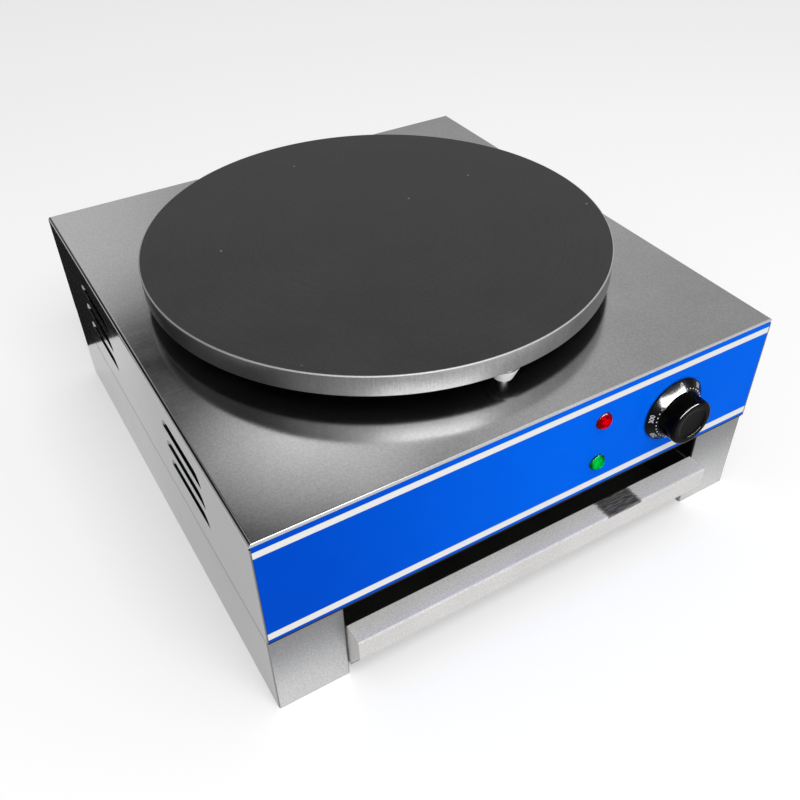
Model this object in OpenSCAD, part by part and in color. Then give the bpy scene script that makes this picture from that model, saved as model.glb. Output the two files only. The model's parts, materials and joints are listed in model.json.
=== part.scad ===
// Electric crepe maker: a cast-iron plate on a sheet-steel housing, with a
// thermostat knob, two pilot lamps and a pull-out crumb tray under the front.
// Millimetres. +Z is up, the front faces -Y, and the origin is the centre of
// the footprint at counter level.

/* [Housing] */
// Width of the housing and of the base under it
body_w = 455; // [400:1:560]
// Depth of the housing and of the base, from front face to rear face
body_d = 482; // [440:1:600]
// Height of the top sheet above the counter
body_h = 186; // [170:1:240]
// Height of the base, up to the joint with the housing
base_h = 83; // [70:1:95]
// Thickness of the housing's stainless sheet
sheet_t = 1; // [0.8:0.1:1.5]
// Thickness of the base's sheet
base_t = 1.2; // [1:0.1:2]
// Outer radius of the bends along the sides of the top sheet
bend_r = 3; // [2:0.5:5]
// Outer radius of the bend along the front and rear of the top sheet
edge_r = 1.2; // [1.1:0.1:1.8]
// How far the top sheet is folded down over the side and rear panels
side_lap = 4.5; // [3.5:0.5:8]
// How far the top sheet is folded down over the front panel
front_lap = 2.8; // [2:0.2:5]
// Width of the flange that each panel turns in under the top sheet
flange_w = 14; // [8:1:20]
// Gap left between neighbouring panels
panel_gap = 0.3; // [0.2:0.1:0.6]

/* [Base] */
// Width of the left front leg
leg_w_left = 59.5; // [40:0.5:80]
// Width of the right front leg
leg_w_right = 53.5; // [40:0.5:80]
// How far the legs stand behind the front face
leg_inset = 1.6; // [1.6:0.1:3]
// Depth of each leg's return beside the tray
leg_return = 18; // [12:1:30]
// Width of the base's rear corner faces
rear_corner_w = 40; // [25:1:60]
// Width of the base's top and bottom flanges
base_flange = 16; // [10:1:20]
// How far the front panel hangs below the joint with the base
front_drop = 0.5; // [0:0.1:1]
// Height of the bare steel edge left under the front panel's film
bare_edge = 2.2; // [0.5:0.1:4]

/* [Plate] */
// Diameter of the cast-iron plate
plate_d = 400; // [340:1:410]
// Height of the plate's rim
plate_rim_h = 18; // [14:0.5:24]
// Thickness of the plate inside its rim
plate_web_t = 12; // [9:0.5:14]
// Radial width of the plate's rim
plate_rim_w = 18; // [12:1:24]
// Clear height between the top sheet and the rim
plate_gap = 13.5; // [11:0.5:20]
// Chamfer at the plate's upper and lower edges
plate_edge = 0.8; // [0.4:0.1:1.5]
// Diameter of the round lugs under the rim
lug_d = 25; // [20:1:30]
// How far the lugs hang below the rim
lug_drop = 2; // [1:0.5:3]
// Number of lugs, studs, spacers and posts
lug_count = 3; // [3:1:3]
// Diameter of the studs that hold the plate
plate_stud_d = 8; // [6:1:8]
// Depth to which a stud is screwed into its lug
plate_stud_grip = 12; // [8:1:14]
// Diameter of a spacer at its foot
spacer_foot_d = 15; // [13:1:18]
// Diameter of the posts between the deck and the top sheet
post_d = 16; // [13:1:22]

/* [Heating] */
// Diameter of the tubular heating elements
element_d = 8; // [6:0.5:9]
// Mean radius of the outer element
outer_ring_r = 148; // [144:1:150]
// Mean radius of the inner element
inner_ring_r = 94; // [80:1:96]
// Distance between the two cold legs of an element
cold_leg_gap = 32; // [28:1:40]
// How far the cold legs reach below the top sheet
cold_leg_drop = 16; // [12:1:30]
// Radius of the clamp plate, the insulation and the shield
clamp_r = 168; // [166:1:170]
// Thickness of the clamp plate
clamp_t = 2; // [1:0.5:2]
// Thickness of the insulation blanket
insulation_t = 5; // [3:0.5:5]
// Thickness of the heat shield
shield_t = 1; // [0.6:0.1:1]
// Diameter of the clamp stud in the middle of the plate
clamp_stud_d = 10; // [8:1:12]
// Diameter of the hole in the top sheet around the clamp nut
centre_hole_d = 36; // [32:1:60]
// Diameter of the ceramic bushes around the cold legs
bush_d = 14; // [13:0.5:18]

/* [Thermostat] */
// Distance of the knob's axis from the middle of the front, to the right
knob_x = 131.5; // [100:0.5:150]
// Height of the knob's axis above the counter
knob_z = 134; // [128:0.5:140]
// Diameter of the dial skirt
skirt_d = 58.4; // [52:0.2:62]
// Gap between the front face and the dial skirt
skirt_gap = 0.8; // [0.5:0.1:1.5]
// Height of the dial skirt from its rim to the cap
skirt_h = 6.6; // [5:0.2:9]
// Wall of the dial skirt and of the cap
knob_wall = 1.4; // [1.2:0.1:2]
// Diameter of the knob's cap
cap_d = 41.2; // [36:0.2:46]
// Height of the knob's cap
cap_h = 14.8; // [12:0.2:20]
// Rounding of the cap's front edge
cap_round = 2.2; // [1:0.2:4]
// Diameter of the thermostat spindle
spindle_d = 6; // [5:0.5:6]
// Running clearance around the spindle
spindle_fit = 0.05; // [0.03:0.01:0.1]
// Width and height of the thermostat's case
stat_w = 36; // [30:1:40]
// Depth of the thermostat's case behind the front panel
stat_d = 30; // [24:1:40]
// Distance between the thermostat's two screws
stat_screw_pitch = 28; // [24:1:30]
// Length of the sensing bulb under the plate
bulb_len = 80; // [60:1:90]
// Diameter of the sensing bulb
bulb_d = 6; // [5:0.5:6]
// Distance of the sensing bulb from the plate's centre
bulb_r = 112; // [108:1:114]

/* [Pilot lamps] */
// Distance of the lamps from the middle of the front, to the right
lamp_x = 56.8; // [30:0.1:70]
// Distance between the two lamps
lamp_pitch = 43; // [36:0.5:60]
// Height of the point midway between the lamps
lamp_mid_z = 133.8; // [128:0.2:140]
// Diameter of a lens
lens_d = 15; // [13:0.5:18]
// How far a lens stands out of the front face
lens_h = 5; // [3:0.5:8]
// Diameter of a lamp's barrel
barrel_d = 10; // [8:0.5:11]
// Length of a lamp's barrel behind the front face
barrel_len = 27; // [20:1:40]

/* [Crumb tray] */
// Side clearance between the tray and the legs
tray_gap = 1; // [0.5:0.1:2]
// Thickness of the tray's sheet
tray_t = 1; // [0.8:0.1:1.5]
// Height of the tray's floor above the counter
tray_floor_z = 10; // [7:0.5:14]
// Height of the tray's front lip above the counter
tray_lip_z = 58; // [50:0.5:60]
// How far the front lip reaches in front of the housing
tray_lip = 16; // [12:0.5:24]
// Height of the apron that hangs from the lip
tray_apron = 21.5; // [12:0.5:26]
// Width of the hem turned in at the foot of the apron
tray_hem = 5; // [3:0.5:7]
// How much lower the tray's side and rear walls are than its lip
tray_wall_drop = 4; // [2:0.5:10]
// Space left between the tray and the rear of the base
tray_rear_gap = 30; // [15:1:60]
// Outer radius of the tray's bends
tray_bend = 1.8; // [1.6:0.1:3]
// Width of the ledge that carries each side of the tray
rail_ledge = 16; // [10:1:24]
// Running gap between the tray and its ledges
rail_gap = 0.3; // [0.2:0.1:0.6]

/* [Vents] */
// Length of a louvre
louvre_len = 80; // [50:1:100]
// Height of a louvre
louvre_high = 11; // [8:0.5:13]
// How deep a louvre is pressed into its panel
louvre_deep = 3.5; // [2.5:0.5:4.5]
// Distance between neighbouring louvres
louvre_pitch = 20.5; // [18:0.1:24]
// Number of louvres in a group
louvre_rows = 3; // [1:1:3]
// Distance from the panel's end to the middle of a group
louvre_inset = 132; // [90:1:160]
// Height of the lowest slot above the joint with the base
louvre_rise = 30.5; // [24:0.5:34]

// Distance between the middles of the rear panel's two groups of louvres
rear_louvre_pitch = 108; // [90:1:120]
// Distance from the rear panel's edge to the middle of its nearer group
rear_louvre_inset = 92; // [80:1:100]

/* [Mains inlet] */
// Distance of the cable gland from the left side of the housing
gland_inset = 77.5; // [56:0.5:90]
// Height of the cable gland above the joint with the base
gland_rise = 27; // [24:1:34]
// Bore of the cable gland
gland_bore = 10; // [6:0.5:11]
// Diameter of the gland's threaded barrel
gland_thread_d = 20; // [18:0.5:22]
// How far the gland stands out of the rear
gland_reach = 18; // [14:1:30]
// Distance of the earth stud from the gland, towards the middle
earth_offset = 60; // [40:1:90]
// Diameter of the earth stud
earth_d = 6; // [5:1:8]

/* [Hidden] */

// Facets of a round form; arcs worked out as points use arc_steps.
$fn = 64;
arc_steps = 12;
// Small amount by which a cut runs past a face.
eps = 0.5;
// Radial clearance of a screw thread or a located pin.
thread_fit = 0.05;

// The knob is the front-most thing and the gland the rear-most, and the origin
// lies midway between them.
knob_reach = skirt_gap + skirt_h + cap_h;
y_front = -(knob_reach + body_d + gland_reach) / 2 + knob_reach;
y_rear = y_front + body_d;
plate_y = (y_front + y_rear) / 2;
half_w = body_w / 2;

// Heights of the sheet-metal levels.
deck_bottom = base_h;
deck_top = deck_bottom + sheet_t;
cover_under = body_h - sheet_t;
film_t = 0.3;
// Side and rear panels: their lower edge, the shoulder under the cover's fold,
// the height of the joggle there and its clearance behind the fold.
panel_bottom = base_h + 0.4;
shoulder = body_h - side_lap - panel_gap;
joggle_h = 4;
lap_fit = 0.2;
panel_y0 = y_front + film_t;
panel_y1 = panel_y0 + sheet_t;
inner_x = half_w - sheet_t;

// Heights of the stack under the plate.
rim_bottom = body_h + plate_gap;
plate_top = rim_bottom + plate_rim_h;
plate_under = plate_top - plate_web_t;
lug_bottom = rim_bottom - lug_drop;
lug_pitch_r = plate_d / 2 - lug_d / 2;
clamp_top = plate_under - element_d;
clamp_bottom = clamp_top - clamp_t;
insulation_bottom = clamp_bottom - insulation_t;
shield_bottom = insulation_bottom - shield_t;
boss_d = clamp_stud_d * 3;
function lug_angle(i) = 270 + i * 360 / lug_count;
function lug_at(i) = [
    lug_pitch_r * cos(lug_angle(i)),
    plate_y + lug_pitch_r * sin(lug_angle(i))
];

// Fasteners: a nut's width across corners, a nut's height and a washer, from
// the thread's diameter.
function nut_d(d) = 1.87 * d;
function nut_h(d) = 0.8 * d;
washer_t = 1.5;
function washer_d(d) = 2.1 * d;

// Cold legs of a heating element: they stand at the ring's open ends.
cold_leg_d = element_d + 0.4;
function ring_open_angle(r) = asin(cold_leg_gap / 2 / r);
function ring_end_y(r) = r * cos(ring_open_angle(r));
cold_leg_bottom = body_h - cold_leg_drop;
cold_legs = [
    for (r = [outer_ring_r, inner_ring_r]) for (s = [-1, 1])
        [s * cold_leg_gap / 2, plate_y + ring_end_y(r)]
];

// The capillary drops through the stack between the two rings.
bulb_z = plate_under - bulb_d / 2 - 0.3;
bulb_y = plate_y - bulb_r;
capillary_d = 2;
capillary_x = 72;
capillary_hole_d = 8;

// Legs, slot and tray, across the front.
slot_x0 = -half_w + leg_w_left;
slot_x1 = half_w - leg_w_right;
leg_y = y_front + leg_inset;
tray_x0 = slot_x0 + tray_gap;
tray_x1 = slot_x1 - tray_gap;
tray_y0 = leg_y;
tray_y1 = y_rear - tray_rear_gap;
tray_front = y_front - tray_lip;
tray_wall_z = tray_lip_z - tray_wall_drop;
ledge_z = tray_floor_z - rail_gap;
base_corner_r = base_t + 0.8;

// Thermostat screws are M4, with heads that clear the skirt.
stat_screw_d = 4;
stat_head_h = 2;
stat_neck_d = 9.6;
panel_hole_fit = 0.2;

// Mains side.
gland_x = half_w - gland_inset;
gland_z = base_h + gland_rise;
gland_wall_d = gland_thread_d + 6;
earth_x = -gland_x + earth_offset;
earth_z = gland_z;
block_w = 52;
block_d = 24;
block_h = 22;
block_ways = 4;
block_x = -gland_x + 40;
block_y = y_rear - 92;
block_way_pitch = block_w / block_ways;
lead_d = 3.2;

module slab(x0, x1, y0, y1, z0, z1) {
    translate([x0, y0, z0]) cube([x1 - x0, y1 - y0, z1 - z0]);
}

module tube(d_out, d_in, h) {
    difference() {
        cylinder(d = d_out, h = h);
        translate([0, 0, -eps]) cylinder(d = d_in, h = h + 2 * eps);
    }
}

// A hexagon nut on a washer, both bored; the washer is at the top.
module nut_and_washer(d) {
    difference() {
        union() {
            cylinder(d = nut_d(d), h = nut_h(d), $fn = 6);
            translate([0, 0, nut_h(d)]) cylinder(d = washer_d(d), h = washer_t);
        }
        translate([0, 0, -eps])
            cylinder(d = d, h = nut_h(d) + washer_t + 2 * eps);
    }
}

// A pan-head screw pointing down, its head standing on z = 0.
module pan_screw(d, len, head_h) {
    union() {
        difference() {
            cylinder(d = 2 * d, h = head_h);
            translate([-d, -d * 0.1, head_h * 0.5]) cube([2 * d, d * 0.2, head_h]);
        }
        translate([0, 0, -len]) cylinder(d = d - 2 * thread_fit, h = len + eps);
    }
}

// Points on a smooth curve through a list of route points.
function spline_point(p0, p1, p2, p3, u) =
    0.5 * ((2 * p1) + (p2 - p0) * u + (2 * p0 - 5 * p1 + 4 * p2 - p3) * u * u
    + (3 * p1 - p0 - 3 * p2 + p3) * u * u * u);
function spline(route, steps) = let (n = len(route)) concat(
    [for (i = [0:n - 2]) for (k = [0:steps - 1])
        spline_point(route[max(i - 1, 0)], route[i], route[i + 1],
                     route[min(i + 2, n - 1)], k / steps)],
    [route[n - 1]]);
function unit(v) = v / norm(v);

// A round wire of diameter d swept along a smooth curve through the route.
module wire(route, d, steps = 4, sides = 8) {
    path = spline(route, steps);
    n = len(path);
    across = unit([0.55, 0.8, 0.1]);
    ahead = function (i) i == 0 ? route[1] - route[0]
        : i == n - 1 ? route[len(route) - 1] - route[len(route) - 2]
        : path[i + 1] - path[i - 1];
    rings = [for (i = [0:n - 1])
        let (t = unit(ahead(i)),
             a = unit(cross(t, across)),
             b = cross(t, a))
        for (k = [0:sides - 1])
            path[i] + d / 2 * (cos(360 * k / sides) * a + sin(360 * k / sides) * b)];
    walls = [for (i = [0:n - 2]) for (k = [0:sides - 1])
        [i * sides + k, (i + 1) * sides + k,
         (i + 1) * sides + (k + 1) % sides, i * sides + (k + 1) % sides]];
    start_cap = [[for (k = [0:sides - 1]) k]];
    end_cap = [[for (k = [0:sides - 1]) (n - 1) * sides + sides - 1 - k]];
    polyhedron(points = rings, faces = concat(start_cap, walls, end_cap), convexity = 6);
}

// ---------------------------------------------------------------- plate

// The cast plate: a thick disc with a rim that hangs below it, round lugs
// under the rim for the studs and a boss in the middle for the clamp stud.
module griddle_plate() {
    r = plate_d / 2;
    color("#3c3c3d") difference() {
        union() {
            translate([0, plate_y, rim_bottom]) rotate_extrude($fn = 128)
                polygon([
                    [0, plate_under - rim_bottom],
                    [r - plate_rim_w, plate_under - rim_bottom],
                    [r - plate_rim_w, 0], [r - plate_edge, 0], [r, plate_edge],
                    [r, plate_rim_h - plate_edge],
                    [r - plate_edge, plate_rim_h], [0, plate_rim_h]
                ]);
            for (i = [0:lug_count - 1])
                translate([lug_at(i).x, lug_at(i).y, lug_bottom])
                    cylinder(d = lug_d, h = plate_under - lug_bottom + eps);
            translate([0, plate_y, clamp_top])
                cylinder(d = boss_d, h = element_d + eps);
        }
        for (i = [0:lug_count - 1])
            translate([lug_at(i).x, lug_at(i).y, lug_bottom - eps])
                cylinder(d = plate_stud_d, h = plate_stud_grip + eps);
        translate([0, plate_y, clamp_top - eps])
            cylinder(d = clamp_stud_d, h = element_d + eps + plate_web_t / 2);
    }
}

// Tapered steel spacers between the top sheet and the lugs.
module plate_spacers() {
    color("#c9cccf") for (i = [0:lug_count - 1])
        translate([lug_at(i).x, lug_at(i).y, body_h]) difference() {
            cylinder(d1 = spacer_foot_d, d2 = lug_d, h = lug_bottom - body_h);
            translate([0, 0, -eps])
                cylinder(d = plate_stud_d + 0.6, h = lug_bottom - body_h + 2 * eps);
        }
}

stud_bottom = deck_bottom - washer_t - nut_h(plate_stud_d) - 3;
module plate_studs() {
    color("#a9adb1") for (i = [0:lug_count - 1])
        translate([lug_at(i).x, lug_at(i).y, stud_bottom])
            cylinder(d = plate_stud_d - 2 * thread_fit,
                     h = lug_bottom + plate_stud_grip - 1 - stud_bottom);
}

module plate_nuts() {
    color("#a9adb1") for (i = [0:lug_count - 1])
        translate([lug_at(i).x, lug_at(i).y,
                   deck_bottom - washer_t - nut_h(plate_stud_d)])
            nut_and_washer(plate_stud_d);
}

// Posts that take the plate's weight from the top sheet down to the deck.
module support_posts() {
    color("#9da1a5") for (i = [0:lug_count - 1])
        translate([lug_at(i).x, lug_at(i).y, deck_top])
            tube(post_d, plate_stud_d + 0.6, cover_under - deck_top);
}

// ---------------------------------------------------------------- heating

// One tubular element: an open ring pressed to the underside of the plate,
// with its two ends turned down into slightly thicker cold legs.
module element(r) {
    g = ring_open_angle(r);
    z = plate_under - element_d / 2;
    translate([0, plate_y, z]) rotate([0, 0, 90 + g])
        rotate_extrude(angle = 360 - 2 * g, $fn = 96) translate([r, 0])
            circle(d = element_d, $fn = 32);
    for (s = [-1, 1])
        translate([s * cold_leg_gap / 2, plate_y + ring_end_y(r), cold_leg_bottom])
            cylinder(d = cold_leg_d, h = plate_under - 0.3 - cold_leg_bottom);
}

module outer_element() { color("#5a4a40") element(outer_ring_r); }

module inner_element() { color("#5a4a40") element(inner_ring_r); }

// What passes down through the clamp plate, the insulation and the shield.
module stack_holes(z0, z1) {
    for (p = cold_legs) translate([p.x, p.y, z0 - eps])
        cylinder(d = cold_leg_d + 0.6, h = z1 - z0 + 2 * eps);
    translate([capillary_x, bulb_y, z0 - eps])
        cylinder(d = capillary_hole_d, h = z1 - z0 + 2 * eps);
    translate([0, plate_y, z0 - eps])
        cylinder(d = clamp_stud_d + 0.4, h = z1 - z0 + 2 * eps);
}

module stack_disc(z0, z1, r) {
    difference() {
        translate([0, plate_y, z0]) cylinder(r = r, h = z1 - z0, $fn = 128);
        stack_holes(z0, z1);
    }
}

module element_clamp() { color("#8d8f91") stack_disc(clamp_bottom, clamp_top, clamp_r); }

module insulation_disc() {
    color("#e8e2d2") stack_disc(insulation_bottom, clamp_bottom, clamp_r);
}

module heat_shield() { color("#8d8f91") stack_disc(shield_bottom, insulation_bottom, clamp_r); }

clamp_stud_bottom = shield_bottom - washer_t - nut_h(clamp_stud_d) - 2;
module clamp_stud() {
    top = clamp_top + element_d / 2 + plate_web_t / 2;
    color("#a9adb1") translate([0, plate_y, clamp_stud_bottom])
        cylinder(d = clamp_stud_d - 2 * thread_fit, h = top - clamp_stud_bottom);
}

module clamp_nut() {
    color("#a9adb1")
        translate([0, plate_y, shield_bottom - washer_t - nut_h(clamp_stud_d)])
            nut_and_washer(clamp_stud_d);
}

// Ceramic bushes that carry the cold legs through the top sheet.
bush_flange_d = bush_d + 3;
bush_flange_t = 2;
module element_bushes() {
    color("#efe9dc") for (p = cold_legs) translate([p.x, p.y, 0]) difference() {
        union() {
            translate([0, 0, cover_under - 4])
                cylinder(d = bush_d - 2 * thread_fit, h = sheet_t + 4 + eps);
            translate([0, 0, body_h]) cylinder(d = bush_flange_d, h = bush_flange_t);
        }
        translate([0, 0, cover_under - 4 - eps])
            cylinder(d = cold_leg_d + 2 * thread_fit, h = sheet_t + 4 + bush_flange_t + 2 * eps);
    }
}

terminal_h = 9;
module element_terminals() {
    color("#c9b27a") for (p = cold_legs)
        translate([p.x, p.y, cold_leg_bottom - terminal_h]) {
            cylinder(d = 3.5, h = terminal_h);
            cylinder(d = 7, h = 2);
        }
}

module thermostat_bulb() {
    color("#c08a5a") translate([-bulb_len / 2, bulb_y, bulb_z])
        rotate([0, 90, 0]) cylinder(d = bulb_d, h = bulb_len, $fn = 32);
}

// Two saddles that hold the bulb against the plate.
module bulb_clips() {
    clip_w = 8;
    clip_h = bulb_d + 1.2;
    color("#b5b8bb") for (s = [-1, 1]) difference() {
        slab(s * bulb_len / 3 - clip_w / 2, s * bulb_len / 3 + clip_w / 2,
             bulb_y - bulb_d, bulb_y + bulb_d, plate_under - clip_h, plate_under);
        translate([s * bulb_len / 3 - clip_w, bulb_y, bulb_z]) rotate([0, 90, 0])
            cylinder(d = bulb_d + 2 * thread_fit, h = 2 * clip_w, $fn = 32);
    }
}

stat_top = knob_z + stat_w / 2;
stat_mid_y = panel_y1 + stat_d / 2;
module capillary_tube() {
    color("#c08a5a") wire([
        [bulb_len / 2, bulb_y, bulb_z],
        [bulb_len / 2 + 18, bulb_y, bulb_z],
        [capillary_x - 4, bulb_y, bulb_z - 1.5],
        [capillary_x, bulb_y, bulb_z - 8],
        [capillary_x, bulb_y, body_h + 4],
        [capillary_x, bulb_y, body_h - 8],
        [capillary_x + 4, bulb_y - 14, cover_under - 20],
        [knob_x - 20, stat_mid_y + 50, cover_under - 20],
        [knob_x, stat_mid_y, stat_top + 10],
        [knob_x, stat_mid_y, stat_top]
    ], capillary_d);
}

// ---------------------------------------------------------------- housing

// Cross-section of a folded sheet's outside: w wide, top corners rounded.
module rounded_top(w, h, r) {
    union() {
        translate([-w / 2, 0]) square([w, h - r]);
        translate([-w / 2 + r, 0]) square([w - 2 * r, h]);
        for (s = [-1, 1]) translate([s * (w / 2 - r), h - r]) circle(r = r);
    }
}

// A block with its top edges rounded: r_side along Y, r_end along X.
module rounded_block(w, d, h, r_side, r_end) {
    intersection() {
        translate([0, d / 2, 0]) rotate([90, 0, 0]) linear_extrude(d)
            rounded_top(w, h, r_side);
        translate([-w / 2, 0, 0]) rotate([90, 0, 90]) linear_extrude(w)
            rounded_top(d, h, r_end);
    }
}

// The top sheet, folded down a little on all four sides.
module top_cover() {
    color("#b9bcbf") difference() {
        translate([0, plate_y, body_h - side_lap])
            rounded_block(body_w, body_d, side_lap, bend_r, edge_r);
        translate([0, plate_y, body_h - side_lap - eps])
            rounded_block(body_w - 2 * sheet_t, body_d - 2 * sheet_t,
                          side_lap - sheet_t + eps, bend_r - sheet_t, edge_r - sheet_t);
        slab(-half_w - eps, half_w + eps, y_front - eps, y_front + sheet_t + eps,
             body_h - side_lap - eps, body_h - front_lap);
        for (i = [0:lug_count - 1]) translate([lug_at(i).x, lug_at(i).y, cover_under - eps])
            cylinder(d = plate_stud_d + 0.6, h = sheet_t + 2 * eps);
        for (p = cold_legs) translate([p.x, p.y, cover_under - eps])
            cylinder(d = bush_d, h = sheet_t + 2 * eps);
        translate([capillary_x, bulb_y, cover_under - eps])
            cylinder(d = capillary_hole_d, h = sheet_t + 2 * eps);
        translate([0, plate_y, cover_under - eps])
            cylinder(d = centre_hole_d, h = sheet_t + 2 * eps);
    }
}

function arc(x, z, r, a0, a1) =
    [for (k = [0:arc_steps]) let (a = a0 + (a1 - a0) * k / arc_steps)
        [x + r * cos(a), z + r * sin(a)]];

// Cross-section of a panel on the +X side, x measured from the outer face:
// the wall, a joggle inwards under the cover's fold, and the top flange, bent
// with the outer radius r.
module panel_section(r) {
    step = sheet_t + lap_fit;
    top = cover_under;
    r_in = max(r - sheet_t, 0.1);
    polygon(concat(
        [[0, panel_bottom], [0, shoulder], [-step, shoulder]],
        arc(-step - r, top - r, r, 0, 90),
        [[-flange_w, top], [-flange_w, top - sheet_t]],
        arc(-step - sheet_t - r_in, top - sheet_t - r_in, r_in, 90, 0),
        [[-step - sheet_t, shoulder - joggle_h], [-sheet_t, shoulder - joggle_h],
         [-sheet_t, panel_bottom]]));
}

// One scoop in a panel whose outer face is x = 0: the upper half of a bar of
// radius r with round ends, lying along Y, as far as it lies behind x = x1.
// Its middle line is where a bar that sinks louvre_deep into the panel and
// leaves a mark louvre_high tall has it.
louvre_r = (pow(louvre_high, 2) + pow(louvre_deep, 2)) / (2 * louvre_deep);
module scoop(r, x1, z0) {
    len = louvre_len - 2 * louvre_high;
    intersection() {
        translate([louvre_r - louvre_deep, 0, 0]) union() {
            translate([0, len / 2, 0]) rotate([90, 0, 0]) cylinder(r = r, h = len);
            for (s = [-1, 1]) translate([0, s * len / 2, 0]) sphere(r = r);
        }
        translate([x1 - 2 * louvre_deep, -louvre_len, z0])
            cube([2 * louvre_deep, 2 * louvre_len, louvre_high + louvre_deep]);
    }
}

// A panel, given as the child, with louvres cut along their lower edges and
// pressed inwards at each of the given middles along Y.
module louvred(middles) {
    places = [for (y = middles) for (k = [0:louvre_rows - 1])
        [0, y, base_h + louvre_rise + k * louvre_pitch]];
    difference() {
        union() {
            children();
            for (p = places) translate(p) scoop(louvre_r + sheet_t, 0, 0);
        }
        for (p = places) translate(p) scoop(louvre_r, eps, -0.1);
    }
}

rear_screw_d = 4;
rear_screw_inset = 22;
rear_screw_zs = [base_h + 12, body_h - 18];
rear_tab_w = rear_screw_inset + 2 * rear_screw_d;

// A side panel, drawn for the +X side with its outer face at x = 0: the
// louvred wall, its top flange and a tab behind the rear panel's screws.
module side_panel_local() {
    tab_y1 = y_rear - sheet_t;
    run_y1 = y_rear - sheet_t - panel_gap;
    run_y0 = panel_y1 + panel_gap;
    difference() {
        louvred([y_front + louvre_inset, y_rear - louvre_inset]) union() {
            slab(-sheet_t, 0, y_front, y_rear, panel_bottom, shoulder);
            translate([0, run_y1, 0]) rotate([90, 0, 0])
                linear_extrude(run_y1 - run_y0) panel_section(bend_r - sheet_t);
            slab(-rear_tab_w, -sheet_t / 2, tab_y1 - sheet_t, tab_y1,
                 deck_top + panel_gap, shoulder - joggle_h - panel_gap);
        }
        for (z = rear_screw_zs) translate([-rear_screw_inset, tab_y1 + eps, z])
            rotate([90, 0, 0]) cylinder(d = rear_screw_d, h = sheet_t + 2 * eps);
    }
}

module right_side_panel() {
    color("#b3b6b9") translate([half_w, 0, 0]) side_panel_local();
}

module left_side_panel() {
    color("#b3b6b9") mirror([1, 0, 0]) translate([half_w, 0, 0]) side_panel_local();
}

// Holes through the front for the lamps, the thermostat's neck and its screws.
module front_holes(neck_d, screw_d) {
    depth = film_t + sheet_t + 4 * eps;
    translate([0, y_front - 2 * eps, 0]) {
        for (s = [-1, 1]) translate([lamp_x, 0, lamp_mid_z + s * lamp_pitch / 2])
            rotate([-90, 0, 0]) cylinder(d = barrel_d + panel_hole_fit, h = depth);
        translate([knob_x, 0, knob_z]) rotate([-90, 0, 0]) cylinder(d = neck_d, h = depth);
        for (s = [-1, 1]) translate([knob_x + s * stat_screw_pitch / 2, 0, knob_z])
            rotate([-90, 0, 0]) cylinder(d = screw_d, h = depth);
    }
}

// The front panel, with a flange turned in under the top sheet.
module front_panel() {
    x1 = inner_x - panel_gap;
    x2 = half_w - flange_w - 2;
    top = body_h - front_lap - 0.2;
    color("#a9adb1") difference() {
        union() {
            slab(-x1, x1, panel_y0, panel_y1, base_h - front_drop, top);
            slab(-x2, x2, y_front + sheet_t + lap_fit, panel_y1, top - eps, cover_under);
            slab(-x2, x2, y_front + sheet_t + lap_fit, y_front + flange_w,
                 cover_under - sheet_t, cover_under);
        }
        front_holes(stat_neck_d + panel_hole_fit, stat_screw_d + panel_hole_fit);
    }
}

// The printed film on the front panel.
film_bottom = base_h - front_drop + bare_edge;
film_top = body_h - front_lap - 0.2;
module front_film() {
    x1 = inner_x - panel_gap;
    color("#0a55dd") difference() {
        slab(-x1, x1, y_front, panel_y0, film_bottom, film_top);
        front_holes(stat_neck_d + panel_hole_fit, stat_screw_d + panel_hole_fit);
    }
}

// The rear panel, with louvres, the gland's hole and the earth stud's hole.
rear_screws = [for (s = [-1, 1]) for (z = rear_screw_zs)
    [s * (half_w - rear_screw_inset), z]];
module rear_panel() {
    x1 = inner_x - panel_gap;
    x2 = half_w - flange_w - 2;
    color("#b3b6b9") difference() {
        translate([0, y_rear, 0]) rotate([0, 0, 90])
            louvred([for (k = [0, 1]) rear_louvre_inset - half_w + k * rear_louvre_pitch])
            union() {
                slab(-sheet_t, 0, -x1, x1, panel_bottom, shoulder);
                translate([0, x2, 0]) rotate([90, 0, 0]) linear_extrude(2 * x2)
                    panel_section(edge_r - sheet_t);
            }
        translate([-gland_x, y_rear + eps, gland_z]) rotate([90, 0, 0])
            cylinder(d = gland_thread_d + panel_hole_fit, h = sheet_t + 2 * eps);
        translate([earth_x, y_rear + eps, earth_z]) rotate([90, 0, 0])
            cylinder(d = earth_d + panel_hole_fit, h = sheet_t + 2 * eps);
        for (p = rear_screws) translate([p.x, y_rear + eps, p.y]) rotate([90, 0, 0])
            cylinder(d = rear_screw_d, h = sheet_t + 2 * eps);
    }
}

module rear_panel_screws() {
    color("#9da1a5") for (p = rear_screws)
        translate([p.x, y_rear, p.y]) rotate([-90, 0, 0]) pan_screw(rear_screw_d, 7, 2);
}

// The deck: the floor of the electrical bay, over the tray.
deck_screw_d = 5;
deck_screw_len = 8;
deck_screw_inset = 60;
deck_screws_at = [for (s = [-1, 1])
    for (y = [y_front + deck_screw_inset, plate_y, y_rear - deck_screw_inset])
        [s * (half_w - base_flange / 2 - base_t), y]];
module deck_plate() {
    color("#9da1a5") difference() {
        slab(-inner_x, inner_x, panel_y1, y_rear - sheet_t, deck_bottom, deck_top);
        for (i = [0:lug_count - 1]) translate([lug_at(i).x, lug_at(i).y, deck_bottom - eps])
            cylinder(d = plate_stud_d + 0.6, h = sheet_t + 2 * eps);
        for (p = deck_screws_at) translate([p.x, p.y, deck_bottom - eps])
            cylinder(d = deck_screw_d, h = sheet_t + 2 * eps);
        for (s = [-1, 1]) translate([block_x + s * block_way_pitch / 2, block_y, deck_bottom - eps])
            cylinder(d = 4, h = sheet_t + 2 * eps);
    }
}

module deck_screws() {
    color("#9da1a5") for (p = deck_screws_at)
        translate([p.x, p.y, deck_top])
            pan_screw(deck_screw_d, deck_screw_len, deck_screw_d / 2);
}

// ---------------------------------------------------------------- base

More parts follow.
